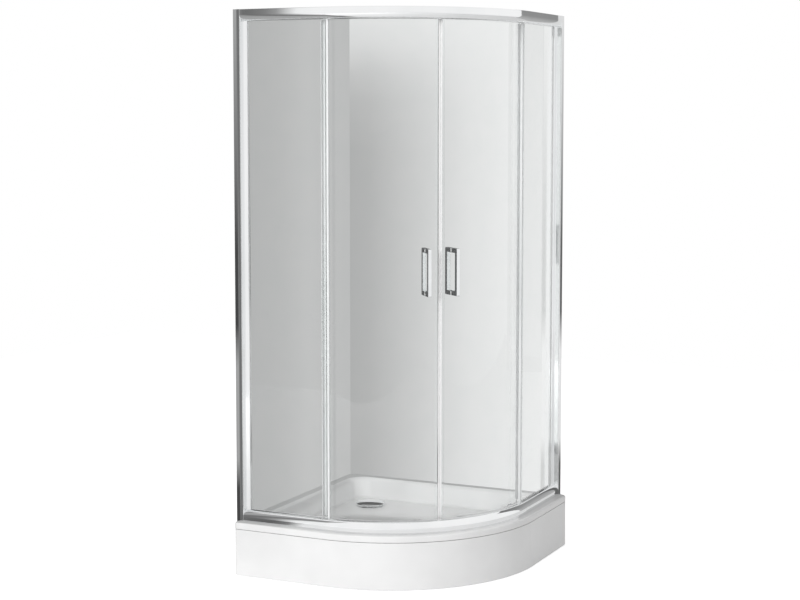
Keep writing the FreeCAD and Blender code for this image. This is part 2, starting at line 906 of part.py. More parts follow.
def screws_and_caps():
    """Screws through the back of each wall profile into the insert, under plastic caps."""
    back = front + s.post_depth
    kinds = (
        ("frame_screws", [(0, -s.screw_length), (s.screw_radius, -s.screw_length), (s.screw_radius, 0),
                          (s.screw_head, 0), (s.screw_head, s.screw_head_wall), (0, s.screw_head_wall)]),
        ("screw_caps", [(s.screw_head + s.screw_clearance, 0), (s.cap_radius, 0),
                        (s.cap_radius, s.screw_head_wall + s.cap_wall), (0, s.screw_head_wall + s.cap_wall),
                        (0, s.screw_head_wall + s.screw_clearance),
                        (s.screw_head + s.screw_clearance, s.screw_head_wall + s.screw_clearance)]),
    )
    for kind, outline in kinds:
        members = []
        for index, height in enumerate(screw_heights()):
            member = shaft(f"{kind}_{index}", outline)
            member.Placement = FreeCAD.Placement(
                FreeCAD.Vector((-half + screw_along()).number, back.number, height.number),
                FreeCAD.Rotation(FreeCAD.Vector(1, 0, 0), QUARTER))
            members.append(member)
        keep_both_sides(kind, members)


# ---------------------------------------------------------------- fixed glass

glass_low = rail_gap_low - s.pocket_depth + s.glazing_rest
glass_high = rail_gap_high + s.pocket_depth - s.glazing_rest


def fixed_glass():
    body = new_body("fixed_glass_left")
    rear = s.post_width + 1 + s.slot_back + s.glazing_gap
    x_low, y_low = left(rear, s.fixed_glass_depth)
    x_high, y_high = left(fixed_glass_end, s.fixed_glass_depth + s.glass_wall)
    sketch = draw(body, "fixed_glass_plan", "XY_Plane", glass_low, box_outline(x_low, y_low, x_high, y_high))
    pad(body, sketch, glass_high - glass_low)
    keep_pair(body)


def glazing_gaskets():
    """Channel gaskets round the wall edge, the top and the bottom of the fixed glass."""
    slot = s.post_width + 1 + s.slot_back
    rear = slot + s.glazing_gap
    lip = s.insert_nose + s.glazing_gap / 3
    face, back = s.fixed_glass_depth, s.fixed_glass_depth + s.glass_wall
    upright_gasket = new_body("gasket_side")
    plan = [left(slot, pocket_front), left(lip, pocket_front), left(lip, face), left(rear, face),
            left(rear, back), left(lip, back), left(lip, pocket_back), left(slot, pocket_back)]
    sketch = draw(upright_gasket, "gasket_side_plan", "XY_Plane", rail_gap_low, plan)
    pad(upright_gasket, sketch, rail_gap_high - rail_gap_low)
    members = [upright_gasket]
    for place, outer, way in rail_faces():
        body = new_body(f"gasket_{place}")
        roof, rest = outer + pocket_roof * way, outer + (pocket_roof + s.glazing_rest) * way
        mouth = outer + s.rail_height * way
        section = [(front + pocket_front, mouth), (front + face, mouth), (front + face, rest),
                   (front + back, rest), (front + back, mouth), (front + pocket_back, mouth),
                   (front + pocket_back, roof), (front + pocket_front, roof)]
        sketch = draw(body, f"gasket_{place}_section", "YZ_Plane", -half + rear, section)
        pad(body, sketch, fixed_glass_end - rear)
        members.append(body)
    keep_pair(group("glazing_gasket_left", members))


def edge_strip():
    """Strip on the free edge of the fixed glass."""
    body = new_body("fixed_edge_strip_left")
    face, back = s.fixed_glass_depth, s.fixed_glass_depth + s.glass_wall
    nose = fixed_glass_end + s.edge_strip_nose
    start = nose - s.edge_strip_width
    low, high = face - s.edge_strip_wall, back + s.edge_strip_wall
    round_in = s.edge_strip_wall
    plan = [left(start, low), left(nose - round_in, low) + left(nose - round_in, low + round_in),
            left(nose, low + round_in), left(nose, high - round_in) + left(nose - round_in, high - round_in),
            left(nose - round_in, high), left(start, high), left(start, back),
            left(fixed_glass_end, back), left(fixed_glass_end, face), left(start, face)]
    sketch = draw(body, "edge_strip_plan", "XY_Plane", rail_gap_low, plan)
    pad(body, sketch, rail_gap_high - rail_gap_low)
    keep_pair(body)


# ---------------------------------------------------------------- doors

door_low = s.tray_height + s.door_edge_gap
door_high = s.enclosure_top - s.door_edge_gap
door_back_radius = door_radius - s.glass_wall
front_angle = MEETING - arc_angle(s.front_roller, door_radius)
rear_angle = QUARTER + arc_angle(s.rear_roller, door_radius)
handle_angle = MEETING - arc_angle(s.handle_edge, door_radius)
axle_high = s.enclosure_top - s.roller_drop
axle_low = s.tray_height + s.roller_drop


def roller_places():
    """Name, angle, height and the way from the axle to the clamp screw of the four rollers."""
    return [
        ("top_front", front_angle, axle_high, -1), ("top_rear", rear_angle, axle_high, -1),
        ("bottom_front", front_angle, axle_low, 1), ("bottom_rear", rear_angle, axle_low, 1),
    ]


def door_glass():
    """Bent pane with a short flat tail, drilled for the roller clamps and the handle studs."""
    body = new_body("door_pane")
    end_angle = MEETING - arc_angle(s.meeting_half, door_radius)
    face_y = arc_y - door_radius
    back_y = arc_y - door_back_radius
    tail = -half + door_rear
    plan = [
        (tail, face_y),
        (arc_x, face_y, arc_x, arc_y),
        (arc_x + door_radius * cosine(end_angle), arc_y + door_radius * sine(end_angle)),
        (arc_x + door_back_radius * cosine(end_angle), arc_y + door_back_radius * sine(end_angle),
         arc_x, arc_y),
        (arc_x, back_y),
        (tail, back_y),
    ]
    sketch = draw(body, "door_plan", "XY_Plane", door_low, plan)
    pad(body, sketch, door_high - door_low)

    drills = []
    places = [(angle, height + s.clamp_drop * way, s.glass_hole)
              for name, angle, height, way in roller_places()]
    leg = (s.handle_height - s.handle_bar) / 2
    places += [(handle_angle, s.handle_middle + leg * way, s.handle_hole) for way in (-1, 1)]
    for index, (angle, height, radius) in enumerate(places):
        drill = doc.addObject("Part::Cylinder", f"drill_{index}")
        drill.setExpression("Radius", radius.formula)
        drill.setExpression("Height", (s.glass_wall * 3).formula)
        place = facing_out(angle, height)
        drill.Placement = place.multiply(FreeCAD.Placement(
            FreeCAD.Vector(0, 0, -2 * s.glass_wall.number), FreeCAD.Rotation()))
        drills.append(drill)
    drill_set = doc.addObject("Part::Compound", "drills")
    drill_set.Links = drills
    pane = doc.addObject("Part::Cut", "door_glass_left")
    pane.Label = "door_glass_left"
    pane.Base = body
    pane.Tool = drill_set
    keep_pair(pane)


def meeting_seal():
    """Magnet strip on the front edge of the door."""
    body = new_body("meeting_seal_left")
    leg_end = s.meeting_half + s.meeting_leg
    web = s.meeting_half - s.curve_gap
    back_face = -s.glass_wall - s.seal_curve_gap
    back_leg = back_face - s.seal_leg_wall
    front_leg = s.curve_gap + s.seal_leg_wall
    soft = s.seal_leg_wall
    plan = [
        (leg_end, back_leg), (leg_end, back_face), (web, back_face),
        (web, s.curve_gap), (leg_end, s.curve_gap), (leg_end, front_leg),
        (s.meeting_gap + soft, front_leg, s.meeting_gap + soft, front_leg - soft),
        (s.meeting_gap, front_leg - soft),
        (s.meeting_gap, back_leg + soft, s.meeting_gap + soft, back_leg + soft),
        (s.meeting_gap + soft, back_leg),
    ]
    sketch = draw(body, "meeting_plan", "XY_Plane", door_low, plan)
    pad(body, sketch, door_high - door_low)
    body.Placement = upright(as_size(MEETING))
    keep_pair(body)


def rear_seal():
    """Channel on the rear edge of the door, with a fin that closes the gap to the fixed glass."""
    body = new_body("rear_seal_left")
    edge, face = door_rear, s.door_glass_depth
    back = face + s.glass_wall
    leg = edge + s.rear_leg
    wall = s.rear_fin_wall
    plan = [
        left(edge - wall, face - s.rear_fin), left(edge, face - s.rear_fin), left(edge, face - wall),
        left(leg, face - wall), left(leg, face), left(edge, face), left(edge, back), left(leg, back),
        left(leg, back + wall), left(edge - wall, back + wall),
    ]
    low, high = rail_gap_low + s.fin_gap, rail_gap_high - s.fin_gap
    pad(body, draw(body, "rear_seal_plan", "XY_Plane", low, plan), high - low)
    keep_pair(body)


def roller_bracket(name, angle, height, way):
    """Plate against the glass, with a boss for the axle and a tapped hole for the clamp screw."""
    body = new_body(name)
    near, far = -s.plate_top * way, s.plate_bottom * way
    low, high = (near, far) if way > 0 else (far, near)
    wide = s.plate_half_width
    corner = s.plate_wall
    outline = [
        (-wide + corner, low), (wide - corner, low, wide - corner, low + corner), (wide, low + corner),
        (wide, high - corner, wide - corner, high - corner), (wide - corner, high),
        (-wide + corner, high, -wide + corner, high - corner), (-wide, high - corner),
        (-wide, low + corner, -wide + corner, low + corner),
    ]
    outline = outline[1:] + outline[:1]
    sketch = draw(body, f"{name}_plate", "XY_Plane", 0, outline)
    add_circle(sketch, 0, 0, s.axle_radius + s.clamp_clearance)
    add_circle(sketch, 0, s.clamp_drop * way, s.clamp_radius + s.clamp_clearance)
    pad(body, sketch, s.plate_wall)
    boss = start_sketch(body, f"{name}_boss", "XY_Plane", s.plate_wall)
    add_circle(boss, 0, 0, s.boss_radius)
    add_circle(boss, 0, 0, s.axle_radius + s.clamp_clearance)
    pad(body, boss, s.roller_stand_off - s.plate_wall - s.roller_gap)
    body.Placement = facing_out(angle, height)
    return body


def roller_axle(name, angle, height, way):
    start = s.curve_gap * 2
    cap = s.roller_stand_off + s.roller_width - s.roller_dish + s.roller_gap
    body = shaft(name, [(0, start), (s.axle_radius, start), (s.axle_radius, cap), (s.axle_cap, cap),
                        (s.axle_cap, cap + s.axle_cap_wall), (0, cap + s.axle_cap_wall)])
    return at_door(body, angle, height)


def clamp_screw(name, angle, height, way):
    under_head = -s.glass_wall - s.seal_curve_gap - s.clamp_disc_wall
    body = shaft(name, [(0, under_head - s.clamp_head_wall), (s.clamp_head, under_head - s.clamp_head_wall),
                        (s.clamp_head, under_head), (s.clamp_radius, under_head),
                        (s.clamp_radius, s.plate_wall), (0, s.plate_wall)])
    return at_door(body, angle, height + s.clamp_drop * way)


def clamp_disc(name, angle, height, way):
    face = -s.glass_wall - s.seal_curve_gap
    body = shaft(name, box_outline(s.clamp_radius + s.clamp_clearance, face - s.clamp_disc_wall,
                                   s.clamp_disc, face))
    return at_door(body, angle, height + s.clamp_drop * way)


def at_door(piece, angle, height):
    """Puts a turned piece on the door with its axis square to the glass."""
    piece.Placement = facing_out(angle, height).multiply(
        FreeCAD.Placement(FreeCAD.Vector(), FreeCAD.Rotation()))
    return piece


def roller(name, angle, height):
    """Flat-treaded wheel. The cap of its axle lies in the dish of its outer face."""
    near = s.roller_stand_off
    far = near + s.roller_width
    bore = s.axle_radius + s.roller_bore_gap
    hub, web = s.axle_cap, s.roller_radius - s.roller_width / 4
    dish = s.roller_dish
    soft = s.roller_radius / 19
    body = shaft(name, [
        (bore, near), (hub, near), (hub, near + dish), (web, near + dish), (web, near),
        (s.roller_radius - soft, near), (s.roller_radius, near + soft), (s.roller_radius, far - soft),
        (s.roller_radius - soft, far), (web, far), (web, far - dish), (bore, far - dish)])
    keep_pair(at_door(body, angle, height))


def door_hardware():
    makers = (("roller_bracket", roller_bracket), ("roller_axle", roller_axle),
              ("clamp_screw", clamp_screw), ("clamp_disc", clamp_disc))
    for kind, make in makers:
        members = [make(f"{kind}_{place}", angle, height, way)
                   for place, angle, height, way in roller_places()]
        if kind == "roller_bracket":
            keep_pair(group("top_brackets_left", members[:2]))
            keep_pair(group("bottom_brackets_left", members[2:]))
        else:
            keep_pair(group(f"{kind}s_left", members))
    for place, angle, height, way in roller_places():
        roller(f"roller_{place}_left", angle, height)


def handle_bow(name, base, way):
    """Square bow handle. The base is where its legs start, and way is +1 out or -1 in."""
    body = new_body(name)
    tall = s.handle_height / 2
    tip = base + (s.handle_reach - s.handle_washer) * way
    grip = tip - s.handle_bar * way
    inside = tall - s.handle_bar
    soft = s.handle_corner
    side = [
        (tall, base), (inside, base), (inside, grip), (-inside, grip), (-inside, base), (-tall, base),
        (-tall, tip - soft * way, -tall + soft, tip - soft * way), (-tall + soft, tip),
        (tall - soft, tip, tall - soft, tip - soft * way), (tall, tip - soft * way),
    ]
    bow = pad(body, draw(body, f"{name}_side", "YZ_Plane", 0, side), s.handle_width, both_ways=True)
    face_reach = s.handle_width.number / 2
    round_edges(body, bow, s.handle_edge_radius,
                lambda middle, edge: abs(abs(middle.x) - face_reach) < 1e-4)
    holes = start_sketch(body, f"{name}_holes", "XY_Plane", base)
    for place in (-1, 1):
        add_circle(holes, 0, (tall - s.handle_bar / 2) * place, s.handle_stud + s.clamp_clearance)
    pocket(body, holes, s.handle_stud_depth + s.curve_gap, backwards=way > 0)
    body.Placement = facing_out(handle_angle, s.handle_middle)
    return body


def handles():
    outer_seat = s.curve_gap
    inner_seat = -s.glass_wall - s.curve_gap
    outer_base = outer_seat + s.handle_washer
    inner_base = inner_seat - s.handle_washer
    keep_pair(handle_bow("handle_outer_left", outer_base, 1))
    keep_pair(handle_bow("handle_inner_left", inner_base, -1))
    leg = (s.handle_height - s.handle_bar) / 2
    studs, washers = [], []
    for index, way in enumerate((-1, 1)):
        height = s.handle_middle + leg * way
        stud = shaft(f"handle_stud_{index}", box_outline(0, inner_base - s.handle_stud_depth, s.handle_stud,
                                                         outer_base + s.handle_stud_depth))
        studs.append(at_door(stud, handle_angle, height))
        for name, low in (("outer", outer_seat), ("inner", inner_base)):
            washer = shaft(f"handle_washer_{name}_{index}",
                           box_outline(s.handle_stud + s.clamp_clearance, low, s.handle_washer_radius,
                                       low + s.handle_washer))
            washers.append(at_door(washer, handle_angle, height))
    keep_pair(group("handle_studs_left", studs))
    keep_pair(group("handle_washers_left", washers))


# ---------------------------------------------------------------- build and export

def check_and_export():
    doc.recompute()
    for item in doc.Objects:
        if "Invalid" in item.State or "Error" in item.State:
            raise RuntimeError(f"{item.Name}: {item.State}")
    for node in nodes:
        if node.Shape.isNull() or not node.Shape.isValid():
            raise RuntimeError(f"{node.Label}: no valid shape")
        if not node.Shape.Solids:
            raise RuntimeError(f"{node.Label}: no solid")
    for node in nodes:
        node.Shape.exportStep(f"parts/{node.Label}.step")
    print(len(nodes), "nodes")


tray_shell()
tray_apron()
apron_clips()
base_board()
leg_bars()
at_feet("foot_studs", foot_stud)
at_feet("foot_pads", foot_pad)
at_feet("foot_nuts", foot_nut)
waste()
wall_profile()
panel_insert()
for rail_place, rail_face, rail_way in rail_faces():
    rail(f"{rail_place}_rail", rail_face, rail_way)
channel_blocks("rail_end_blocks", s.post_width, s.post_width + s.end_block_length)
channel_blocks("door_stops", s.stop_far - s.stop_length, s.stop_far)
screws_and_caps()
fixed_glass()
glazing_gaskets()
edge_strip()
door_glass()
meeting_seal()
rear_seal()
door_hardware()
handles()
check_and_export()
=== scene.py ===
"""Looks of a quadrant shower enclosure: chrome frame, clear glass, white acrylic tray.

Metres, in the frame of the CAD model. The left-hand pieces are made first; the right-hand ones are
their mirror images across the plane through the wall corner and the doors' meeting line.
"""

import math

import bmesh
import bpy
from mathutils import Matrix, Vector


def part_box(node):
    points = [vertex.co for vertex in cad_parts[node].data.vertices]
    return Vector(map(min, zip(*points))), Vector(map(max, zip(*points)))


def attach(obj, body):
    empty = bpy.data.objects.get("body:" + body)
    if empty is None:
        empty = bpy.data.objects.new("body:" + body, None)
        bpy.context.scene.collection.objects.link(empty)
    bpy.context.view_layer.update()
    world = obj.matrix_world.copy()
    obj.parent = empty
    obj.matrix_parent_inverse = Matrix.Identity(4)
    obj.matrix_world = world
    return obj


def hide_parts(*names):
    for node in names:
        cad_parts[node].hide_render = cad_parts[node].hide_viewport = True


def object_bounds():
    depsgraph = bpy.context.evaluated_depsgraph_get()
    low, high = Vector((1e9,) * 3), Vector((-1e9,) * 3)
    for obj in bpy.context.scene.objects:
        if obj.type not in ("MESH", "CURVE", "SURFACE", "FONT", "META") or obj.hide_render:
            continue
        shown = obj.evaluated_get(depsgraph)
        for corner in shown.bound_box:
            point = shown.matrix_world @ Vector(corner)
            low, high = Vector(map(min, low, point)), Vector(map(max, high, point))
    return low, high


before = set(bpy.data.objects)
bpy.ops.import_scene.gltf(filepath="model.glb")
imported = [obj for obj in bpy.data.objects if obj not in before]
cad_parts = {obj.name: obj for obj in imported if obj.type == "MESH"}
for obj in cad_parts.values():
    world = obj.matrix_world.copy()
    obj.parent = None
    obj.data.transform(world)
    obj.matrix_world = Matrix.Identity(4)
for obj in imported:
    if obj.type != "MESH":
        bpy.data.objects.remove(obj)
cad_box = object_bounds()

MM = 0.001

# What the frame gives: lowest and highest corners of CAD nodes.
RAIL_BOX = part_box("bottom_rail")
PANE_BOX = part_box("fixed_glass_left")
DOOR_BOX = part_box("door_glass_left")
APRON_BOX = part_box("tray_apron")
FLANGE_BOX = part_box("waste_flange")
HANDLE_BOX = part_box("handle_outer_left")

# Plan: half the tray's side, the outer face of the straight rails, and the quarter circle's radii
# and middle.
HALF = cad_box[1].x
FRONT = RAIL_BOX[0].y
TRAY_RADIUS = 550 * MM
FRAME_RADIUS = TRAY_RADIUS - (HALF + FRONT)
MIDDLE = Vector((HALF - TRAY_RADIUS, TRAY_RADIUS - HALF, 0))
DOOR_RADIUS = MIDDLE.y - DOOR_BOX[0].y

# Heights, and what is measured from them or between them.
FRAME_TOP = cad_box[1].z
TRAY_TOP = RAIL_BOX[0].z
BOWL_FLOOR = TRAY_TOP - 75 * MM
RAIL_HEIGHT = RAIL_BOX[1].z - RAIL_BOX[0].z
RAIL_SKIN = 2 * MM
HANDLE_HEIGHT = (HANDLE_BOX[0].z + HANDLE_BOX[1].z) / 2
HANDLE_STUD = 72.5 * MM
ROLLER_DROP = 14 * MM
CLAMP_DROP = 15 * MM

GLASS_THICKNESS = 6 * MM
DRAIN = Matrix.Translation((*((FLANGE_BOX[0] + FLANGE_BOX[1]) / 2).xy, BOWL_FLOOR))


# ------------------------------------------------------------------ materials

def new_material(name):
    """A material with its node tree, its shader, and coordinates in metres."""
    material = bpy.data.materials.new(name)
    material.use_nodes = True
    nodes, links = material.node_tree.nodes, material.node_tree.links
    shader = nodes["Principled BSDF"]
    place = nodes.new("ShaderNodeTexCoord").outputs["Object"]
    return material, nodes, links, shader, place


def noise(nodes, links, place, scale, detail=3.0, stretch=None):
    """A noise value. Scale is in features per metre; stretch squeezes it along an axis."""
    texture = nodes.new("ShaderNodeTexNoise")
    texture.inputs["Scale"].default_value = scale
    texture.inputs["Detail"].default_value = detail
    if stretch:
        mapping = nodes.new("ShaderNodeMapping")
        mapping.inputs["Scale"].default_value = stretch
        links.new(place, mapping.inputs["Vector"])
        place = mapping.outputs["Vector"]
    links.new(place, texture.inputs["Vector"])
    return texture.outputs["Fac"]


def spread(nodes, links, value, low, high):
    """Maps a noise value, which mostly lies between 0.3 and 0.7, to a range."""
    node = nodes.new("ShaderNodeMapRange")
    node.inputs["From Min"].default_value = 0.3
    node.inputs["From Max"].default_value = 0.7
    node.inputs["To Min"].default_value = low
    node.inputs["To Max"].default_value = high
    links.new(value, node.inputs["Value"])
    return node.outputs["Result"]


def two_tone(nodes, links, value, dark, light):
    """Blends two colours by a noise value."""
    ramp = nodes.new("ShaderNodeValToRGB")
    ramp.color_ramp.elements[0].position = 0.35
    ramp.color_ramp.elements[0].color = (*dark, 1)
    ramp.color_ramp.elements[1].position = 0.65
    ramp.color_ramp.elements[1].color = (*light, 1)
    links.new(value, ramp.inputs["Fac"])
    return ramp.outputs["Color"]


def add_bump(nodes, links, shader, value, strength, distance):
    bump = nodes.new("ShaderNodeBump")
    bump.inputs["Strength"].default_value = strength
    bump.inputs["Distance"].default_value = distance
    links.new(value, bump.inputs["Height"])
    links.new(bump.outputs["Normal"], shader.inputs["Normal"])


def surface(name, dark, light, rough, scale, bump=(0.1, 0.0002), stretch=None, **sockets):
    """A material whose colour and roughness vary a little, over a fine bump."""
    material, nodes, links, shader, place = new_material(name)
    broad = noise(nodes, links, place, scale, 2.0, stretch)
    fine = noise(nodes, links, place, scale * 11, 4.0, stretch)
    links.new(two_tone(nodes, links, broad, dark, light), shader.inputs["Base Color"])
    links.new(spread(nodes, links, fine, *rough), shader.inputs["Roughness"])
    add_bump(nodes, links, shader, fine, *bump)
    for socket, value in sockets.items():
        shader.inputs[socket.replace("_", " ")].default_value = value
    return material


def grey(value):
    return (value, value, value)


CHROME = surface("chrome", (0.84, 0.85, 0.855), (0.88, 0.885, 0.89), (0.035, 0.075), 9,
                 bump=(0.02, 0.0001), stretch=(1, 1, 0.2), Metallic=1.0)
HANDLE_CHROME = surface("handle_chrome", (0.80, 0.81, 0.82), (0.84, 0.85, 0.86), (0.02, 0.05), 30,
                        bump=(0.02, 0.0001), Metallic=1.0)
ACRYLIC = surface("white_acrylic", grey(0.80), grey(0.84), (0.12, 0.20), 6,
                  bump=(0.05, 0.0002), Coat_Weight=0.4, Coat_Roughness=0.06)
WHITE_SEAL = surface("magnet_seal", grey(0.86), grey(0.90), (0.35, 0.5), 60,
                     bump=(0.15, 0.0002), stretch=(1, 1, 0.05))
CLEAR_SEAL = surface("clear_seal", (0.78, 0.80, 0.80), (0.86, 0.87, 0.87), (0.18, 0.32), 50,
                     bump=(0.1, 0.0002), stretch=(1, 1, 0.05), Transmission_Weight=0.08, IOR=1.46)
CLEAR_VINYL = surface("clear_vinyl", (0.98, 0.985, 0.985), (0.99, 0.995, 0.995), (0.01, 0.04), 50,
                      bump=(0.03, 0.0001), stretch=(1, 1, 0.05), Transmission_Weight=1.0, IOR=1.15)
GASKET = surface("gasket", (0.80, 0.81, 0.81), (0.86, 0.865, 0.865), (0.3, 0.45), 50,
                 bump=(0.15, 0.0002), stretch=(1, 1, 0.05))
STEEL = surface("stainless", (0.52, 0.52, 0.53), (0.60, 0.60, 0.61), (0.2, 0.32), 90, Metallic=1.0)
ZINC = surface("zinc_plate", (0.52, 0.54, 0.56), (0.70, 0.70, 0.66), (0.3, 0.5), 35,
               bump=(0.2, 0.0003), Metallic=1.0)
ACETAL = surface("white_acetal", grey(0.72), grey(0.78), (0.3, 0.42), 70, bump=(0.2, 0.0002))
GREY_PLASTIC = surface("grey_plastic", grey(0.46), grey(0.52), (0.4, 0.55), 90, bump=(0.3, 0.0003))
WHITE_PLASTIC = surface("white_plastic", grey(0.74), grey(0.79), (0.3, 0.45), 90, bump=(0.3, 0.0002))
BLACK_PLASTIC = surface("black_plastic", grey(0.025), grey(0.04), (0.4, 0.6), 90, bump=(0.3, 0.0004))
RUBBER = surface("black_rubber", grey(0.015), grey(0.028), (0.6, 0.8), 80, bump=(0.4, 0.0004))


def glass_material():
    """Clear toughened glass with a faint green body and slightly uneven surface."""
    material, nodes, links, shader, place = new_material("clear_glass")
    wave = noise(nodes, links, place, 1.6, 1.0)
    film = noise(nodes, links, place, 14, 4.0)
    links.new(two_tone(nodes, links, film, (0.955, 0.972, 0.968), (0.972, 0.984, 0.980)),
              shader.inputs["Base Color"])
    links.new(spread(nodes, links, film, 0.0, 0.012), shader.inputs["Roughness"])
    add_bump(nodes, links, shader, wave, 0.02, 0.001)
    shader.inputs["Transmission Weight"].default_value = 1.0
    shader.inputs["IOR"].default_value = 1.45
    return material


def board_material():
    """Chipboard: pressed flakes."""
    material, nodes, links, shader, place = new_material("chipboard")
    flakes = nodes.new("ShaderNodeTexVoronoi")
    flakes.inputs["Scale"].default_value = 260
    links.new(place, flakes.inputs["Vector"])
    links.new(two_tone(nodes, links, flakes.outputs["Color"], (0.30, 0.20, 0.11), (0.52, 0.39, 0.24)),
              shader.inputs["Base Color"])
    links.new(spread(nodes, links, flakes.outputs["Distance"], 0.6, 0.85), shader.inputs["Roughness"])
    add_bump(nodes, links, shader, flakes.outputs["Distance"], 0.4, 0.0006)
    return material


GLASS = glass_material()
CHIPBOARD = board_material()


# ------------------------------------------------------------------ mesh helpers

CREASE = math.radians(35)


def smooth(data):
    """Smooth sides and crisp edges. Large faces pull the normals at their border, so that flats
    reflect flat right up to their rounded edges."""
    data.shade_smooth()
    faces = [[] for vertex in data.vertices]
    for face in data.polygons:
        for index in face.vertices:
            faces[index].append(face.index)
    normals = [face.normal.copy() for face in data.polygons]
    areas = [face.area for face in data.polygons]
    corners = []
    for face in data.polygons:
        own = normals[face.index]
        for index in face.vertices:
            total = own * areas[face.index]
            for other in faces[index]:
                if other != face.index and areas[other] > 0 and own.angle(normals[other], 4) < CREASE:
                    total = total + normals[other] * areas[other]
            corners.append(total.normalized())
    data.normals_split_custom_set(corners)


def make_object(name, mesh, material, body):
    """Puts a finished bmesh into the scene."""
    data = bpy.data.meshes.new(name)
    mesh.normal_update()
    bmesh.ops.recalc_face_normals(mesh, faces=mesh.faces)
    mesh.to_mesh(data)
    mesh.free()
    smooth(data)
    data.materials.append(material)
    piece = bpy.data.objects.new(name, data)
    bpy.context.scene.collection.objects.link(piece)
    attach(piece, body)
    return piece


def grid(mesh, rings, closed_path=False):
    """Faces between closed rings of vertices."""
    rows = [[mesh.verts.new(point) for point in ring] for ring in rings]
    count = len(rows[0])
    last = len(rows) if closed_path else len(rows) - 1
    for row in range(last):
        one, two = rows[row], rows[(row + 1) % len(rows)]
        for index in range(count):
            follow = (index + 1) % count
            mesh.faces.new((one[index], one[follow], two[follow], two[index]))
    return rows


def in_metres(points):
    """Points given in millimetres."""
    return [(x * MM, y * MM) for x, y in points]


def arc(middle_x, middle_y, radius, start, end, steps):
    """Points of an arc, angles in degrees."""
    turns = [math.radians(start + (end - start) * step / steps) for step in range(steps + 1)]
    return [(middle_x + radius * math.cos(turn), middle_y + radius * math.sin(turn)) for turn in turns]


def soften(loop, radius, steps=3):
    """Rounds the corners of a closed loop of points, and leaves nearly straight ones."""
    nearly_straight, most_of_side = 0.35, 0.45
    rounded = []
    for index, point in enumerate(loop):
        here = Vector(point)
        before, after = Vector(loop[index - 1]), Vector(loop[(index + 1) % len(loop)])
        into, out = before - here, after - here
        if abs(into.angle(out) - math.pi) < nearly_straight:
            rounded.append(tuple(here))
            continue
        reach = min(radius, into.length * most_of_side, out.length * most_of_side)
        first, last = here + into.normalized() * reach, here + out.normalized() * reach
        for step in range(steps + 1):
            share = step / steps
            rounded.append(tuple(first * (1 - share) ** 2 + here * 2 * share * (1 - share)
                                 + last * share ** 2))
    return rounded


def mirror_piece(piece, name, body):
    """The mirror image of a left-hand piece, riding on the right-hand body."""
    mesh = bmesh.new()
    mesh.from_mesh(piece.data)
    for vertex in mesh.verts:
        x, y, z = vertex.co
        vertex.co = (-y, -x, z)
    return make_object(name, mesh, piece.data.materials[0], body)


def cut(piece, tools):
    """Takes the tool meshes out of a piece."""
    for tool in tools:
        modifier = piece.modifiers.new("cut", "BOOLEAN")
        modifier.operation = "DIFFERENCE"
        modifier.solver = "EXACT"
        modifier.object = tool
    settled = bpy.data.meshes.new_from_object(piece.evaluated_get(bpy.context.evaluated_depsgraph_get()))
    piece.modifiers.clear()
    old = piece.data
    piece.data = settled
    bpy.data.meshes.remove(old)
    smooth(piece.data)
    for tool in tools:
        bpy.data.objects.remove(tool)


def cutter(radius, low, high, place, sides=32):
    """A temporary rod along the local Z axis of a placement."""
    mesh = bmesh.new()
    rings = [[Vector((x, y, z)) for x, y in arc(0, 0, radius, 0, 360 - 360 / sides, sides - 1)]
             for z in (low, high)]
    rows = grid(mesh, rings)
    mesh.faces.new(rows[0])
    mesh.faces.new(rows[1])
    mesh.normal_update()
    bmesh.ops.recalc_face_normals(mesh, faces=mesh.faces)
    mesh.transform(place)
    data = bpy.data.meshes.new("cutter")
    mesh.to_mesh(data)
    mesh.free()
    tool = bpy.data.objects.new("cutter", data)
    bpy.context.scene.collection.objects.link(tool)
    return tool


def sweep(name, section, stations, material, body):
    """Carries a closed section of (inward, height) along stations of (point, inward direction)."""
    mesh = bmesh.new()
    rings = [[Vector((x + inward_x * depth, y + inward_y * depth, height)) for depth, height in section]
             for (x, y), (inward_x, inward_y) in stations]
    rows = grid(mesh, rings)
    for row in (rows[0], rows[-1]):
        mesh.faces.new(row)
    return make_object(name, mesh, material, body)


def prism(name, plan, low, high, material, body, soft=0.0):
    """An upright extrusion of a plan outline."""
    if soft:
        plan = soften(plan, soft)
    mesh = bmesh.new()
    rows = grid(mesh, [[Vector((x, y, z)) for x, y in plan] for z in (low, high)])
    mesh.faces.new(rows[0])
    mesh.faces.new(rows[1])
    return make_object(name, mesh, material, body)


def lathe(name, outline, place, material, body, sides=48):
    """A turned piece: the outline gives radius and height along the local Z axis in millimetres."""
    mesh = bmesh.new()
    rings = []
    for step in range(sides):
        turn = 2 * math.pi * step / sides
        rings.append([place @ Vector((radius * math.cos(turn), radius * math.sin(turn), height))
                      for radius, height in in_metres(outline)])
    grid(mesh, rings, closed_path=True)
    bmesh.ops.remove_doubles(mesh, verts=mesh.verts, dist=1e-6)
    bmesh.ops.dissolve_degenerate(mesh, edges=mesh.edges, dist=1e-7)
    return make_object(name, mesh, material, body)


def joined(name, pieces):
    """Makes one piece of several of the same body and material."""
    mesh = bmesh.new()
    for piece in pieces:
        mesh.from_mesh(piece.data)
    for piece in pieces[1:]:
        bpy.data.objects.remove(piece)
    first = pieces[0]
    mesh.to_mesh(first.data)
    mesh.free()
    smooth(first.data)
    first.name = name
    return first


def pair(piece, stem, body):
    """Adds the mirror image, and hides the CAD nodes of both sides. Lamps shine through panes."""
    other = mirror_piece(piece, piece.name.replace("_left", "_right"), body.replace("_left", "_right"))
    for pane in (piece, other):
        if pane.data.materials[0] == GLASS:
            pane.visible_shadow = False
            pane.visible_diffuse = False
    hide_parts(f"{stem}_left")
    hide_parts(f"{stem}_right")


# ------------------------------------------------------------------ places

# A station is a point of the plan with the direction towards the enclosure's inside. Angles round
# MIDDLE are in degrees: -90 where the left straight ends, -45 at the meeting line.


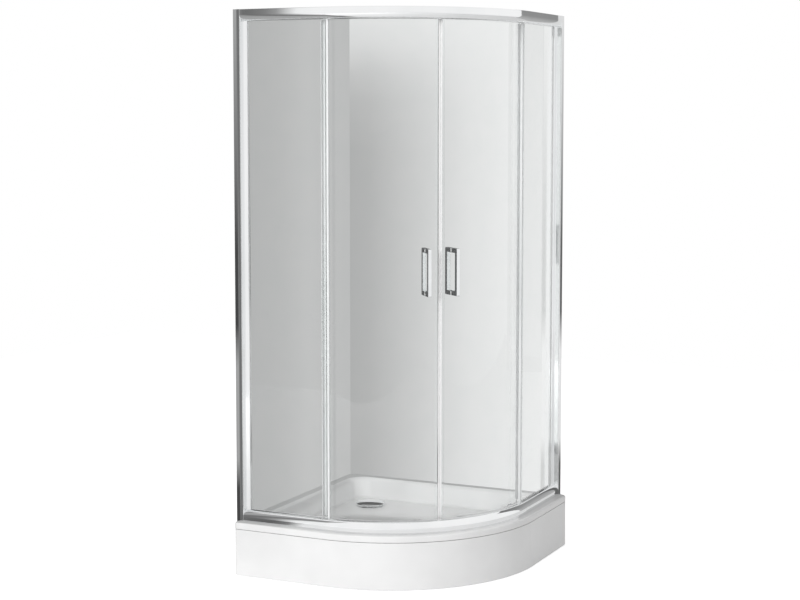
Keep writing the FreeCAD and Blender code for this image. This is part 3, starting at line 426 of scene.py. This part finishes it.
def facing_out(degrees, height):
    """Placement on the door's outer face: X along the curve, Y up, Z outwards."""
    turn = math.radians(degrees)
    outward = Vector((math.cos(turn), math.sin(turn), 0))
    along = Vector((-math.sin(turn), math.cos(turn), 0))
    rotation = Matrix((along, Vector((0, 0, 1)), outward)).transposed().to_4x4()
    return Matrix.Translation(MIDDLE + outward * DOOR_RADIUS + Vector((0, 0, height))) @ rotation


def on_curve(degrees, radius=FRAME_RADIUS):
    """A station on the quarter circle."""
    turn = math.radians(degrees)
    x, y = math.cos(turn), math.sin(turn)
    return (MIDDLE.x + radius * x, MIDDLE.y + radius * y), (-x, -y)


def along_left(x):
    return (x, FRONT), (0, 1)


def along_right(y):
    return (-FRONT, y), (-1, 0)


CURVE_STEPS = 96
DOOR_STEPS = 60
RAIL_ENDS = -RAIL_BOX[0].x
WHOLE_FRONT = ([along_left(-RAIL_ENDS), along_left((-RAIL_ENDS + MIDDLE.x) / 2)]
               + [on_curve(-90 + 90 * step / CURVE_STEPS) for step in range(CURVE_STEPS + 1)]
               + [along_right((RAIL_ENDS + MIDDLE.y) / 2), along_right(RAIL_ENDS)])


def degrees_on_door(length):
    """The angle that a length along a door's outer face covers."""
    return math.degrees(length / DOOR_RADIUS)


DOOR_END = -45 - degrees_on_door(6.5 * MM)
DOOR_PATH = ([along_left(DOOR_BOX[0].x)]
             + [on_curve(-90 + (DOOR_END + 90) * step / DOOR_STEPS) for step in range(DOOR_STEPS + 1)])
FRONT_ROLLER = -45 - degrees_on_door(80 * MM)
REAR_ROLLER = -90 + degrees_on_door(40 * MM)
HANDLE_DEGREES = -45 - degrees_on_door(47 * MM)
ROLLERS = (
    ("top_front", FRONT_ROLLER, FRAME_TOP - ROLLER_DROP, -1),
    ("top_rear", REAR_ROLLER, FRAME_TOP - ROLLER_DROP, -1),
    ("bottom_front", FRONT_ROLLER, TRAY_TOP + ROLLER_DROP, 1),
    ("bottom_rear", REAR_ROLLER, TRAY_TOP + ROLLER_DROP, 1),
)


# ------------------------------------------------------------------ tray

def quadrant_ring(wall, front, corner, height):
    """A closed outline of the tray, drawn in from the walls and from its open sides."""
    wall_x, wall_y = -HALF + wall, HALF - wall
    low, high = -HALF + front, HALF - front
    points = arc(MIDDLE.x, MIDDLE.y, TRAY_RADIUS - front, -90, 0, 72)
    points += arc(high - corner, wall_y - corner, corner, 0, 90, 10)
    points += arc(wall_x + corner, wall_y - corner, corner, 90, 180, 14)
    points += arc(wall_x + corner, low + corner, corner, 180, 270, 10)
    return [Vector((x, y, height)) for x, y in points]


def tray_shell():
    """Pressed acrylic tray: rolled rim, sloping sides and a flat floor, 5 mm thick."""
    wall_rim, front_rim, side_run = 40, 88, 25
    mean_rim = (wall_rim + front_rim) / 2
    outer_corner, bowl_corner = 18, 70
    roll, thickness = 5.5, 5
    floor = (TRAY_TOP - BOWL_FLOOR) / MM
    rings = []

    def ring(share, down_side, below_rim, inwards=0.0):
        """Share runs from the outer edge to the bowl's edge, and down_side down the bowl's side."""
        wall = wall_rim * share + side_run * down_side - inwards
        front = front_rim * share + side_run * down_side - inwards
        corner = outer_corner + (bowl_corner - outer_corner) * share + inwards * min(1, share * 2)
        rings.append(quadrant_ring(wall * MM, front * MM, corner * MM, TRAY_TOP - below_rim * MM))

    ring(1, 3.2, floor + thickness)
    ring(1, 1.3, floor + thickness, 2)
    ring(1, 0.90, 72, 5)
    ring(1, 0.30, 21, 5)
    ring(0.98, 0, 6, 5)
    ring(0.5, 0, thickness)
    ring(0.09, 0, thickness)
    ring(0.055, 0, 8)
    ring(0.055, 0, 22)
    ring(0.0, 0, 22)
    for turn in range(0, 91, 15):
        angle = math.radians(turn)
        ring(roll * (1 - math.cos(angle)) / mean_rim, 0, roll * (1 - math.sin(angle)))
    ring(0.5, 0, 0)
    for step in range(7):
        share = step / 6
        ring(0.93 + 0.07 * share, -0.12 + 0.26 * share ** 2 + 0.06 * share, 9 * share ** 1.9)
    for down_side, below_rim in ((0.32, 19), (0.50, 33), (0.66, 46), (0.78, 57), (0.87, 64.5),
                                 (0.97, 70), (1.10, 73.2), (1.28, 74.6), (1.6, floor), (3.2, floor)):
        ring(1, down_side, below_rim)
    mesh = bmesh.new()
    rows = grid(mesh, rings)
    mesh.faces.new(rows[0])
    mesh.faces.new(rows[-1])
    tray = make_object("look_tray_shell", mesh, ACRYLIC, "frame")
    cut(tray, [cutter(45 * MM, -12 * MM, 8 * MM, DRAIN, 64)])
    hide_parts("tray_shell")


def tray_apron():
    """Skirt along the open sides, with a flange inside at its top and foot."""
    corner = 18 * MM
    end = HALF - corner

    def turn_end(middle, start):
        places = []
        for step in range(9):
            turn = math.radians(start + 90 * step / 8)
            x, y = math.cos(turn), math.sin(turn)
            places.append(((middle[0] + corner * x, middle[1] + corner * y), (-x, -y)))
        return places

    stations = turn_end((-end, -end), 180)
    stations += [on_curve(-90 + 90 * step / CURVE_STEPS, TRAY_RADIUS) for step in range(CURVE_STEPS + 1)]
    stations += turn_end((end, end), 0)
    low, top = APRON_BOX[0].z, APRON_BOX[1].z
    skin, flange, fold = 4 * MM, 14 * MM, 2 * MM
    section = soften([(0, low), (flange, low), (flange, low + fold), (skin, low + fold),
                      (skin, top - fold), (flange, top - fold), (flange, top), (0, top)], 0.9 * MM)
    apron = sweep("look_tray_apron", section, stations, ACRYLIC, "frame")
    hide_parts("tray_apron")


# ------------------------------------------------------------------ rails and profiles

RAILS = (("top", FRAME_TOP, -1), ("bottom", TRAY_TOP, 1))


def on_rail(section, face, way):
    """A section of millimetres behind a rail's front and from its closed face. Way is 1 for the
    bottom rail, and -1 for the top rail, which hangs upside down."""
    return [(depth, face + drop * way) for depth, drop in in_metres(section)]


def beside_wall(plan):
    """A plan of millimetres from the left wall and from the frame's outer face."""
    return [(-HALF + x, FRONT + y) for x, y in in_metres(plan)]


def rails():
    """Each with a face curve, a slot for the fixed glass and a channel for the rollers."""
    bend, upright_part = 26, 16
    bend_angle = math.asin((RAIL_HEIGHT / MM - upright_part) / bend)
    section = [(1.2, 0), (0.35, 0.35), (0, 1.2)]
    section += [(bend - bend * math.cos(turn), upright_part + bend * math.sin(turn))
                for turn in (bend_angle * step / 14 for step in range(15))]
    section += [(25.5, 40), (25.5, 26), (34.5, 26), (34.5, 40), (36, 40), (36, 23.8), (15, 23.8),
                (15, 2), (56, 2), (56, 6), (58, 6), (58, 0)]
    for name, face, way in RAILS:
        rail = sweep(f"look_{name}_rail", on_rail(section, face, way), WHOLE_FRONT, CHROME, "frame")
        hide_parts(f"{name}_rail")


def slot_covers():
    """Cover strips in the rails' glass slots between the fixed panes."""
    between_panes = WHOLE_FRONT[2:-2]
    section = [(25.7, 27), (34.3, 27), (34.3, 38.2), (33.6, 38.9), (32.2, 39.3), (30, 39.5), (27.8, 39.3),
               (26.4, 38.9), (25.7, 38.2)]
    for name, face, way in RAILS:
        sweep(f"look_slot_cover_{name}", on_rail(section, face, way), between_panes, WHITE_SEAL, "frame")


def rail_end_plates():
    """Thin plates that close the wall profiles' open sides beside the rails' ends."""
    plan = beside_wall([(24.8, 3.1), (25.9, 3.1), (25.9, 31.8), (24.8, 31.8)])
    for name, face, way in RAILS:
        low, high = sorted((face + RAIL_SKIN * way, face + RAIL_HEIGHT * way))
        plate = prism(f"look_end_plate_{name}_left", plan, low, high, CHROME, "frame",
                      soft=0.3 * MM)
        mirror_piece(plate, f"look_end_plate_{name}_right", "frame")


def wall_profiles():
    """Posts against the walls, curved at their outer edge."""
    curve = [(along, (1 - along / 14) ** 2) for along in (0.6, 1.5, 3, 4.5, 6, 7.5, 9, 10.5, 12, 13.5)]
    plan = [(0.0, 1.5)] + curve + [(25.3, 0.05), (25.8, 0.3), (26, 0.8), (26, 3), (2, 3), (2, 32),
                                   (26, 32), (26, 34), (0, 34)]
    post = prism("look_wall_profile_left", beside_wall(plan), TRAY_TOP, FRAME_TOP, CHROME, "frame")
    pair(post, "wall_profile", "frame")


def panel_frames():
    """Narrow channels beside the walls that hold the fixed panes."""
    plan = [(12, 3.4), (27, 3.4), (27, 19.4), (41.2, 21.8), (42, 22.6), (42, 25.5), (31, 25.5),
            (31, 34.5), (42, 34.5), (42, 38), (27, 38), (27, 31.6), (12, 31.6)]
    low, high = TRAY_TOP + RAIL_HEIGHT, FRAME_TOP - RAIL_HEIGHT
    insert = prism("look_panel_frame_left", beside_wall(plan), low, high, CHROME, "frame",
                   soft=0.7 * MM)
    pair(insert, "panel_frame", "frame")


# ------------------------------------------------------------------ glass and seals

GROUND_EDGE = 0.7 * MM


def pane_section(near, low, high):
    """Section of a pane with ground edges."""
    far = near + GLASS_THICKNESS
    return [(near, low + GROUND_EDGE), (near + GROUND_EDGE, low), (far - GROUND_EDGE, low),
            (far, low + GROUND_EDGE), (far, high - GROUND_EDGE), (far - GROUND_EDGE, high),
            (near + GROUND_EDGE, high), (near, high - GROUND_EDGE)]


def fixed_panes():
    start, near, low = PANE_BOX[0]
    end, high = PANE_BOX[1].x, PANE_BOX[1].z
    path = [along_left(x) for x in (start, start + GROUND_EDGE, end - GROUND_EDGE, end)]
    pane = sweep("look_fixed_glass_left", pane_section(near - FRONT, low, high), path, GLASS,
                 "frame")
    pair(pane, "fixed_glass", "frame")


def door_panes():
    """Curved panes with holes for their clamps and handles."""
    section = pane_section(FRAME_RADIUS - DOOR_RADIUS, DOOR_BOX[0].z, DOOR_BOX[1].z)
    pane = sweep("look_door_glass_left", section, DOOR_PATH, GLASS, "door_left")
    behind, before = -12 * MM, 6 * MM
    tools = [cutter(5 * MM, behind, before, facing_out(degrees, height + CLAMP_DROP * way))
             for name, degrees, height, way in ROLLERS]
    tools += [cutter(4.2 * MM, behind, before, facing_out(HANDLE_DEGREES, HANDLE_HEIGHT + HANDLE_STUD * way))
              for way in (-1, 1)]
    cut(pane, tools)
    pair(pane, "door_glass", "door_left")


def meeting_seals():
    """White magnet noses with clear legs that clip over the doors' front edges."""
    low, high = DOOR_BOX[0].z, DOOR_BOX[1].z
    turn = math.radians(-45)
    outward = Vector((math.cos(turn), math.sin(turn)))
    back = Vector((math.sin(turn), -math.cos(turn)))
    foot = Vector((MIDDLE.x, MIDDLE.y)) + outward * DOOR_RADIUS

    def plan(points):
        return [tuple(foot + back * along + outward * out) for along, out in in_metres(points)]

    nose = plan([(6.35, -7.6), (1.6, -7.7), (0.7, -7.4), (0.3, -6.6), (0.15, -5.6), (0.15, -0.6),
                 (0.3, 0.5), (0.7, 1.2), (1.6, 1.5), (6.35, 1.45)])
    front_leg = plan([(6.4, 0.15), (15.6, 0.15), (16.0, 0.4), (15.9, 0.9), (6.4, 1.45)])
    back_leg = plan([(6.4, -6.4), (15.6, -6.4), (16.0, -6.7), (15.9, -7.2), (6.4, -7.7)])
    pieces = [prism("look_meeting_nose_left", nose, low, high, WHITE_SEAL, "door_left")]
    pieces.append(joined("look_meeting_legs_left", [
        prism(f"leg_{index}", leg, low, high, CLEAR_VINYL, "door_left")
        for index, leg in enumerate((front_leg, back_leg))]))
    for piece in pieces:
        pair(piece, "meeting_seal", "door_left")


# ------------------------------------------------------------------ handles

def bow(name, base, way):
    """Square bow with rounded outer corners and eased edges. Way is 1 outside and -1 inside."""
    tall, bar, reach = 80.5 * MM, 16 * MM, 41 * MM
    half_width, eased, corner = 6 * MM, 1.5 * MM, 5 * MM
    tip = base + reach * way
    grip = tip - bar * way
    inside = tall - bar
    side = [(tall, base), (inside, base), (inside, grip), (-inside, grip), (-inside, base), (-tall, base)]
    rounded = [(-tall + corner * (1 - math.cos(turn)), tip - corner * way * (1 - math.sin(turn)))
               for turn in (math.radians(90 * step / 6) for step in range(7))]
    side += rounded + [(-up, out) for up, out in reversed(rounded)]
    mesh = bmesh.new()
    rows = grid(mesh, [[Vector((x, up, out)) for up, out in side] for x in (-half_width, half_width)])
    faces = [mesh.faces.new(row) for row in rows]
    rims = [edge for edge in mesh.edges if sum(face in faces for face in edge.link_faces) == 1]
    bmesh.ops.recalc_face_normals(mesh, faces=mesh.faces)
    bmesh.ops.bevel(mesh, geom=rims, offset=eased, segments=4, profile=0.5, affect="EDGES",
                    clamp_overlap=True)
    mesh.transform(facing_out(HANDLE_DEGREES, HANDLE_HEIGHT))
    return make_object(name, mesh, HANDLE_CHROME, "door_left")


def handles():
    pad = 1.1 * MM
    pair(bow("look_handle_outer_left", pad, 1), "handle_outer", "door_left")
    pair(bow("look_handle_inner_left", -GLASS_THICKNESS - pad, -1), "handle_inner", "door_left")


# ------------------------------------------------------------------ rollers

def rollers():
    """Wheels with a rubbed tread, a sunk bearing and its shield, outside the glass."""
    near, far = 19, 26
    outline = [(3.05, near), (5, near), (5.3, near + 1.4), (7.3, near + 1.4), (7.75, near), (9.1, near),
               (9.5, near + 0.5), (9.42, near + 2), (9.42, far - 2), (9.5, far - 0.5), (9.1, far),
               (7.75, far), (7.3, far - 1.4), (6.2, far - 1.75), (6.0, far - 1.5), (4.2, far - 1.5),
               (4.0, far - 1.75), (3.05, far - 1.75)]
    for name, degrees, height, way in ROLLERS:
        wheel = lathe(f"look_roller_{name}_left", outline, facing_out(degrees, height), ACETAL,
                      f"roller_{name}_left")
        pair(wheel, f"roller_{name}", f"roller_{name}_left")


def clamps():
    """Discs and socket screws that hold the roller brackets through the glass."""
    back = -GLASS_THICKNESS / MM - 0.35
    head = back - 2
    disc = [(2.6, back), (8.9, back), (9, back - 0.2), (9, back - 1.3), (8.4, back - 1.9), (7.6, head),
            (2.6, head)]
    screw = [(0, 3), (2.2, 3), (2.5, 2.7), (2.5, head), (4.6, head), (4.95, head - 0.4),
             (4.8, head - 1.3), (4.0, head - 1.95), (2.4, head - 2.2), (1.9, head - 2.0),
             (1.6, head - 0.9), (0, head - 0.6)]
    discs, screws = [], []
    for name, degrees, height, way in ROLLERS:
        place = facing_out(degrees, height + CLAMP_DROP * way)
        discs.append(lathe(f"disc_{name}", disc, place, WHITE_PLASTIC, "door_left"))
        screws.append(lathe(f"screw_{name}", screw, place, STEEL, "door_left"))
    pair(joined("look_clamp_discs_left", discs), "clamp_discs", "door_left")
    pair(joined("look_clamp_screws_left", screws), "clamp_screws", "door_left")


# ------------------------------------------------------------------ waste

def waste():
    """Flange and domed cover. Heights are from the bowl's floor."""
    ring = [(37.5, -20), (40.2, -20), (40.2, 0), (54.2, 0), (55, 0.5), (54.6, 1.3), (53, 2), (39.2, 2),
            (37.9, 1.3), (37.5, -0.5)]
    flange = lathe("look_waste_flange", ring, DRAIN, CHROME, "frame", 96)
    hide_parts("waste_flange")
    dome = [(0, -20), (7.4, -20), (8, -19.2), (8, 10.5), (33, 10.3), (47, 8.6), (54.2, 7.2), (55.6, 7.2),
            (56, 7.8), (55.7, 9), (54, 10.2), (48, 12), (40, 13.6), (30, 14.9), (18, 15.7), (6, 16), (0, 16)]
    cover = lathe("look_waste_cover", dome, DRAIN, CHROME, "waste_cover", 96)
    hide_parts("waste_cover")


# ------------------------------------------------------------------ CAD nodes that stay

NODE_MATERIALS = {
    "rear_seal": CLEAR_SEAL, "fixed_edge_strip": CLEAR_SEAL,
    "glazing_gasket": GASKET, "frame_screws": STEEL, "handle_studs": STEEL, "roller_axles": STEEL,
    "top_brackets": CHROME, "bottom_brackets": CHROME, "handle_washers": WHITE_PLASTIC,
    "rail_end_blocks": GREY_PLASTIC, "door_stops": GREY_PLASTIC, "screw_caps": GREY_PLASTIC,
    "apron_clips": GREY_PLASTIC, "base_board": CHIPBOARD, "leg_bars": ZINC, "foot_studs": ZINC,
    "foot_nuts": ZINC, "foot_pads": BLACK_PLASTIC, "waste_body": WHITE_PLASTIC, "waste_seal": RUBBER,
}


def dress_nodes():
    """Gives each CAD node that shows its material."""
    for name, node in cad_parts.items():
        for stem, material in NODE_MATERIALS.items():
            if name.startswith(stem):
                for place in node.material_slots:
                    place.material = material


# ------------------------------------------------------------------ stage, light and camera

def stage_plane(name, corners, material, hidden_from=()):
    """A plane of the studio. Its UV runs from the first corner to the second and to the fourth."""
    mesh = bmesh.new()
    face = mesh.faces.new([mesh.verts.new(corner) for corner in corners])
    spots = mesh.loops.layers.uv.new("spot")
    for loop, spot in zip(face.loops, ((0, 0), (1, 0), (1, 1), (0, 1))):
        loop[spots].uv = spot
    data = bpy.data.meshes.new(name)
    mesh.to_mesh(data)
    mesh.free()
    data.materials.append(material)
    plane = bpy.data.objects.new(name, data)
    bpy.context.scene.collection.objects.link(plane)
    for rays in hidden_from:
        setattr(plane, f"visible_{rays}", False)


def emission_material(name):
    """A material that only glows."""
    material = bpy.data.materials.new(name)
    material.use_nodes = True
    nodes, links = material.node_tree.nodes, material.node_tree.links
    nodes.remove(nodes["Principled BSDF"])
    glow = nodes.new("ShaderNodeEmission")
    links.new(glow.outputs["Emission"], nodes["Material Output"].inputs["Surface"])
    return material, nodes, links, glow


def light_path(nodes, links, *rays):
    """0 for other rays than the named ones, and for these 1 or their depth."""
    path = nodes.new("ShaderNodeLightPath")
    total = path.outputs[rays[0]]
    for ray in rays[1:]:
        both = nodes.new("ShaderNodeMath")
        both.operation = "ADD"
        both.use_clamp = True
        links.new(total, both.inputs[0])
        links.new(path.outputs[ray], both.inputs[1])
        total = both.outputs["Value"]
    return total


def from_to(nodes, links, value, low, high):
    """Low where the value is 0, and high where it is 1 or more."""
    node = nodes.new("ShaderNodeMapRange")
    node.inputs["To Min"].default_value = low
    node.inputs["To Max"].default_value = high
    links.new(value, node.inputs["Value"])
    return node.outputs["Result"]


def graded(nodes, links, axis, stops):
    """Greys along one axis of a plane's UV. The first two stops are the ends."""
    place = nodes.new("ShaderNodeTexCoord")
    split = nodes.new("ShaderNodeSeparateXYZ")
    links.new(place.outputs["UV"], split.inputs["Vector"])
    ramp = nodes.new("ShaderNodeValToRGB")
    for index, (position, value) in enumerate(stops):
        if index < 2:
            stop = ramp.color_ramp.elements[index]
            stop.position = position
        else:
            stop = ramp.color_ramp.elements.new(position)
        stop.color = (value, value, value, 1)
    links.new(split.outputs[axis], ramp.inputs["Fac"])
    return ramp.outputs["Color"]


def painted_shade_wall_material(name, stops, top=((0.0, 0.0), (1.0, 0.0))):
    """The bathroom wall as the glass shows it: a glowing plane whose greys are painted shade along the wall,
    lighter towards the top.
    Metal in the enclosure reflects it dark beside the waste and the handles, where its glow is cut: a
    painted dark reflection."""
    material, nodes, links, glow = emission_material(name)
    mix = nodes.new("ShaderNodeMixRGB")
    # painted shade and light: greys along the wall from the stops, blended towards a pale grey higher up
    links.new(graded(nodes, links, "Y", top), mix.inputs["Fac"])
    links.new(graded(nodes, links, "X", stops), mix.inputs["Color1"])
    mix.inputs["Color2"].default_value = (*grey(0.86), 1)
    links.new(mix.outputs["Color"], glow.inputs["Color"])
    # painted dark reflection: for rays from metal the glow drops to 0.15 in bands along the height
    reflected = from_to(nodes, links, light_path(nodes, links, "Glossy Depth"), 1.0, 0.0)
    dark = graded(nodes, links, "Y", ((0.05, 0.15), (0.64, 0.95), (0.085, 0.9), (0.20, 0.9), (0.25, 0.15),
                                      (0.34, 0.15)))
    links.new(dark, reflected.node.inputs["To Max"])
    links.new(reflected, glow.inputs["Strength"])
    return material


def card_material(name, axis, stops):
    """A studio card that only reflections show, and nothing seen through the glass."""
    material, nodes, links, glow = emission_material(name)
    links.new(graded(nodes, links, axis, stops), glow.inputs["Color"])
    through = light_path(nodes, links, "Transmission Depth")
    clear = nodes.new("ShaderNodeBsdfTransparent")
    mix = nodes.new("ShaderNodeMixShader")
    links.new(from_to(nodes, links, through, 0.0, 1.0), mix.inputs["Fac"])
    links.new(glow.outputs["Emission"], mix.inputs[1])
    links.new(clear.outputs["BSDF"], mix.inputs[2])
    links.new(mix.outputs["Shader"], nodes["Material Output"].inputs["Surface"])
    return material


def floor_material():
    """Pale floor that looks white to the camera, through glass and in metal, under plain lamps."""
    material, nodes, links, shader, _ = new_material("studio_floor")
    shader.inputs["Base Color"].default_value = (*grey(0.80), 1)
    shader.inputs["Roughness"].default_value = 0.9
    shader.inputs["Emission Color"].default_value = (*grey(1), 1)
    seen = from_to(nodes, links, light_path(nodes, links, "Is Camera Ray"), 0.0, 0.62)
    through = from_to(nodes, links, light_path(nodes, links, "Is Transmission Ray"), 0.0, 0.38)
    mirrored = from_to(nodes, links, light_path(nodes, links, "Is Glossy Ray"), 0.0, 0.2)
    links.new(mirrored, through.node.inputs["To Min"])
    links.new(through, seen.node.inputs["To Min"])
    links.new(seen, shader.inputs["Emission Strength"])
    return material


def upright(start, end, low, high):
    """Corners of an upright plane over a line."""
    return [(*start, low), (*end, low), (*end, high), (*start, high)]


def walls_with_painted_shade():
    """The walls as seen through the glass and in metal, but not by the camera itself. They glow, and their
    greys are painted shade.
    """
    rays = ("camera", "shadow", "diffuse")
    edge, low, high = HALF + 0.5 * MM, 160 * MM, 3.0
    # painted shade of the side wall: a nearly even grey
    left = painted_shade_wall_material("left_wall", ((0.0, 0.455), (1.0, 0.485), (0.19, 0.468), (0.64, 0.515),
                                       (0.895, 0.491)))
    # painted shade of the back wall: darkest at the corner, lighter to the right and towards the top
    back = painted_shade_wall_material("back_wall_painted_shade", ((0.0, 0.405), (1.0, 0.93), (0.09, 0.428), (0.29, 0.566),
                                       (0.567, 0.758), (0.71, 0.814), (0.867, 0.90)),
                         ((0.454, 0.0), (0.64, 0.8), (0.522, 0.11), (0.561, 0.29), (0.60, 0.61)))
    stage_plane("left_wall", upright((-edge, -edge), (-edge, edge), low, high), left, rays)
    stage_plane("back_wall_painted_shade", upright((-edge, edge), (edge, edge), low, high), back, rays)


def studio_cards():
    """Grey cards beside the enclosure, which its metal and the glass' outer faces reflect."""
    rays = ("camera", "transmission", "shadow", "diffuse")
    lift, card_top, card_line = 3 * MM, 3.2, -1.42
    streak = card_material("left_card", "X", ((0.0, 0.42), (1.0, 0.95), (0.60, 0.42), (0.80, 0.36),
                                              (0.834, 0.17), (0.90, 0.23), (0.94, 0.34)))
    stage_plane("left_card", upright((-2.2, card_line), (-0.75, card_line), 0.0, card_top), streak, rays)
    plain = card_material("far_card", "X", ((0.0, 0.42), (1.0, 0.42)))
    stage_plane("left_card_far", upright((-6.0, card_line), (-2.2, card_line), 0.0, card_top), plain, rays)
    near = card_material("floor_card", "X", ((0.0, 0.42), (1.0, 0.95), (0.60, 0.42), (0.83, 0.15),
                                             (0.90, 0.13), (0.95, 0.22)))
    stage_plane("left_card_floor", [(-2.12, card_line, lift), (-0.67, card_line, lift),
                                    (-0.37, -0.62, lift), (-1.82, -0.62, lift)], near, rays)
    side = card_material("right_card", "Y", ((0.0, 0.5), (1.0, 0.18), (0.18, 0.44), (0.45, 0.31)))
    stage_plane("right_card", upright((3.2, 3.8), (0.87, 4.9), 0.0, 4.5), side, rays)


def stage():
    """A pale floor, the walls and the cards."""
    stage_plane("studio_floor", [(-4.5, -4, 0), (4.5, -4, 0), (4.5, 5, 0), (-4.5, 5, 0)],
                floor_material())
    walls_with_painted_shade()
    studio_cards()


def area_light(name, place, target, size, watts):
    """A soft lamp that isn't itself seen in metal or through glass."""
    light = bpy.data.lights.new(name, "AREA")
    light.shape = "RECTANGLE"
    light.size, light.size_y = size
    light.energy = watts
    lamp = bpy.data.objects.new(name, light)
    lamp.location = place
    lamp.rotation_euler = (Vector(target) - Vector(place)).to_track_quat("-Z", "Y").to_euler()
    bpy.context.scene.collection.objects.link(lamp)
    lamp.visible_glossy = False
    lamp.visible_transmission = False


def light():
    """Plain soft light. The world is white where it shows, and lights the object with half of that."""
    world = bpy.data.worlds.new("studio")
    bpy.context.scene.world = world
    world.use_nodes = True
    nodes, links = world.node_tree.nodes, world.node_tree.links
    seen = light_path(nodes, links, "Is Camera Ray", "Is Glossy Ray", "Is Transmission Ray")
    background = nodes["Background"]
    background.inputs["Color"].default_value = (1, 1, 1, 1)
    links.new(from_to(nodes, links, seen, 0.50, 1.0), background.inputs["Strength"])
    area_light("key", (-0.72, -5.9, 2.8), (0, 0, 0.7), (3.0, 3.0), 222)
    area_light("fill", (4.5, -3.0, 3.0), (0, 0, 0.9), (3.0, 3.0), 30)


def camera():
    """The photograph's viewpoint, about 6 m away, 1.6 m high and looking a little down."""
    picture_width, focal_length = 800, 1719.41
    down, around = 4.943, 25.149
    data = bpy.data.cameras.new("camera")
    data.sensor_fit = "HORIZONTAL"
    data.sensor_width = 36
    data.lens = focal_length / picture_width * data.sensor_width
    data.shift_y = -0.05
    eye = bpy.data.objects.new("camera", data)
    eye.location = (2.5620, -5.5066, 1.6057)
    eye.rotation_euler = (math.radians(90 - down), 0, math.radians(around))
    bpy.context.scene.collection.objects.link(eye)
    bpy.context.scene.camera = eye


tray_shell()
tray_apron()
rails()
slot_covers()
rail_end_plates()
wall_profiles()
panel_frames()
fixed_panes()
door_panes()
meeting_seals()
handles()
rollers()
clamps()
waste()
dress_nodes()
stage()
light()
camera()
bpy.context.scene.view_settings.view_transform = "Standard"
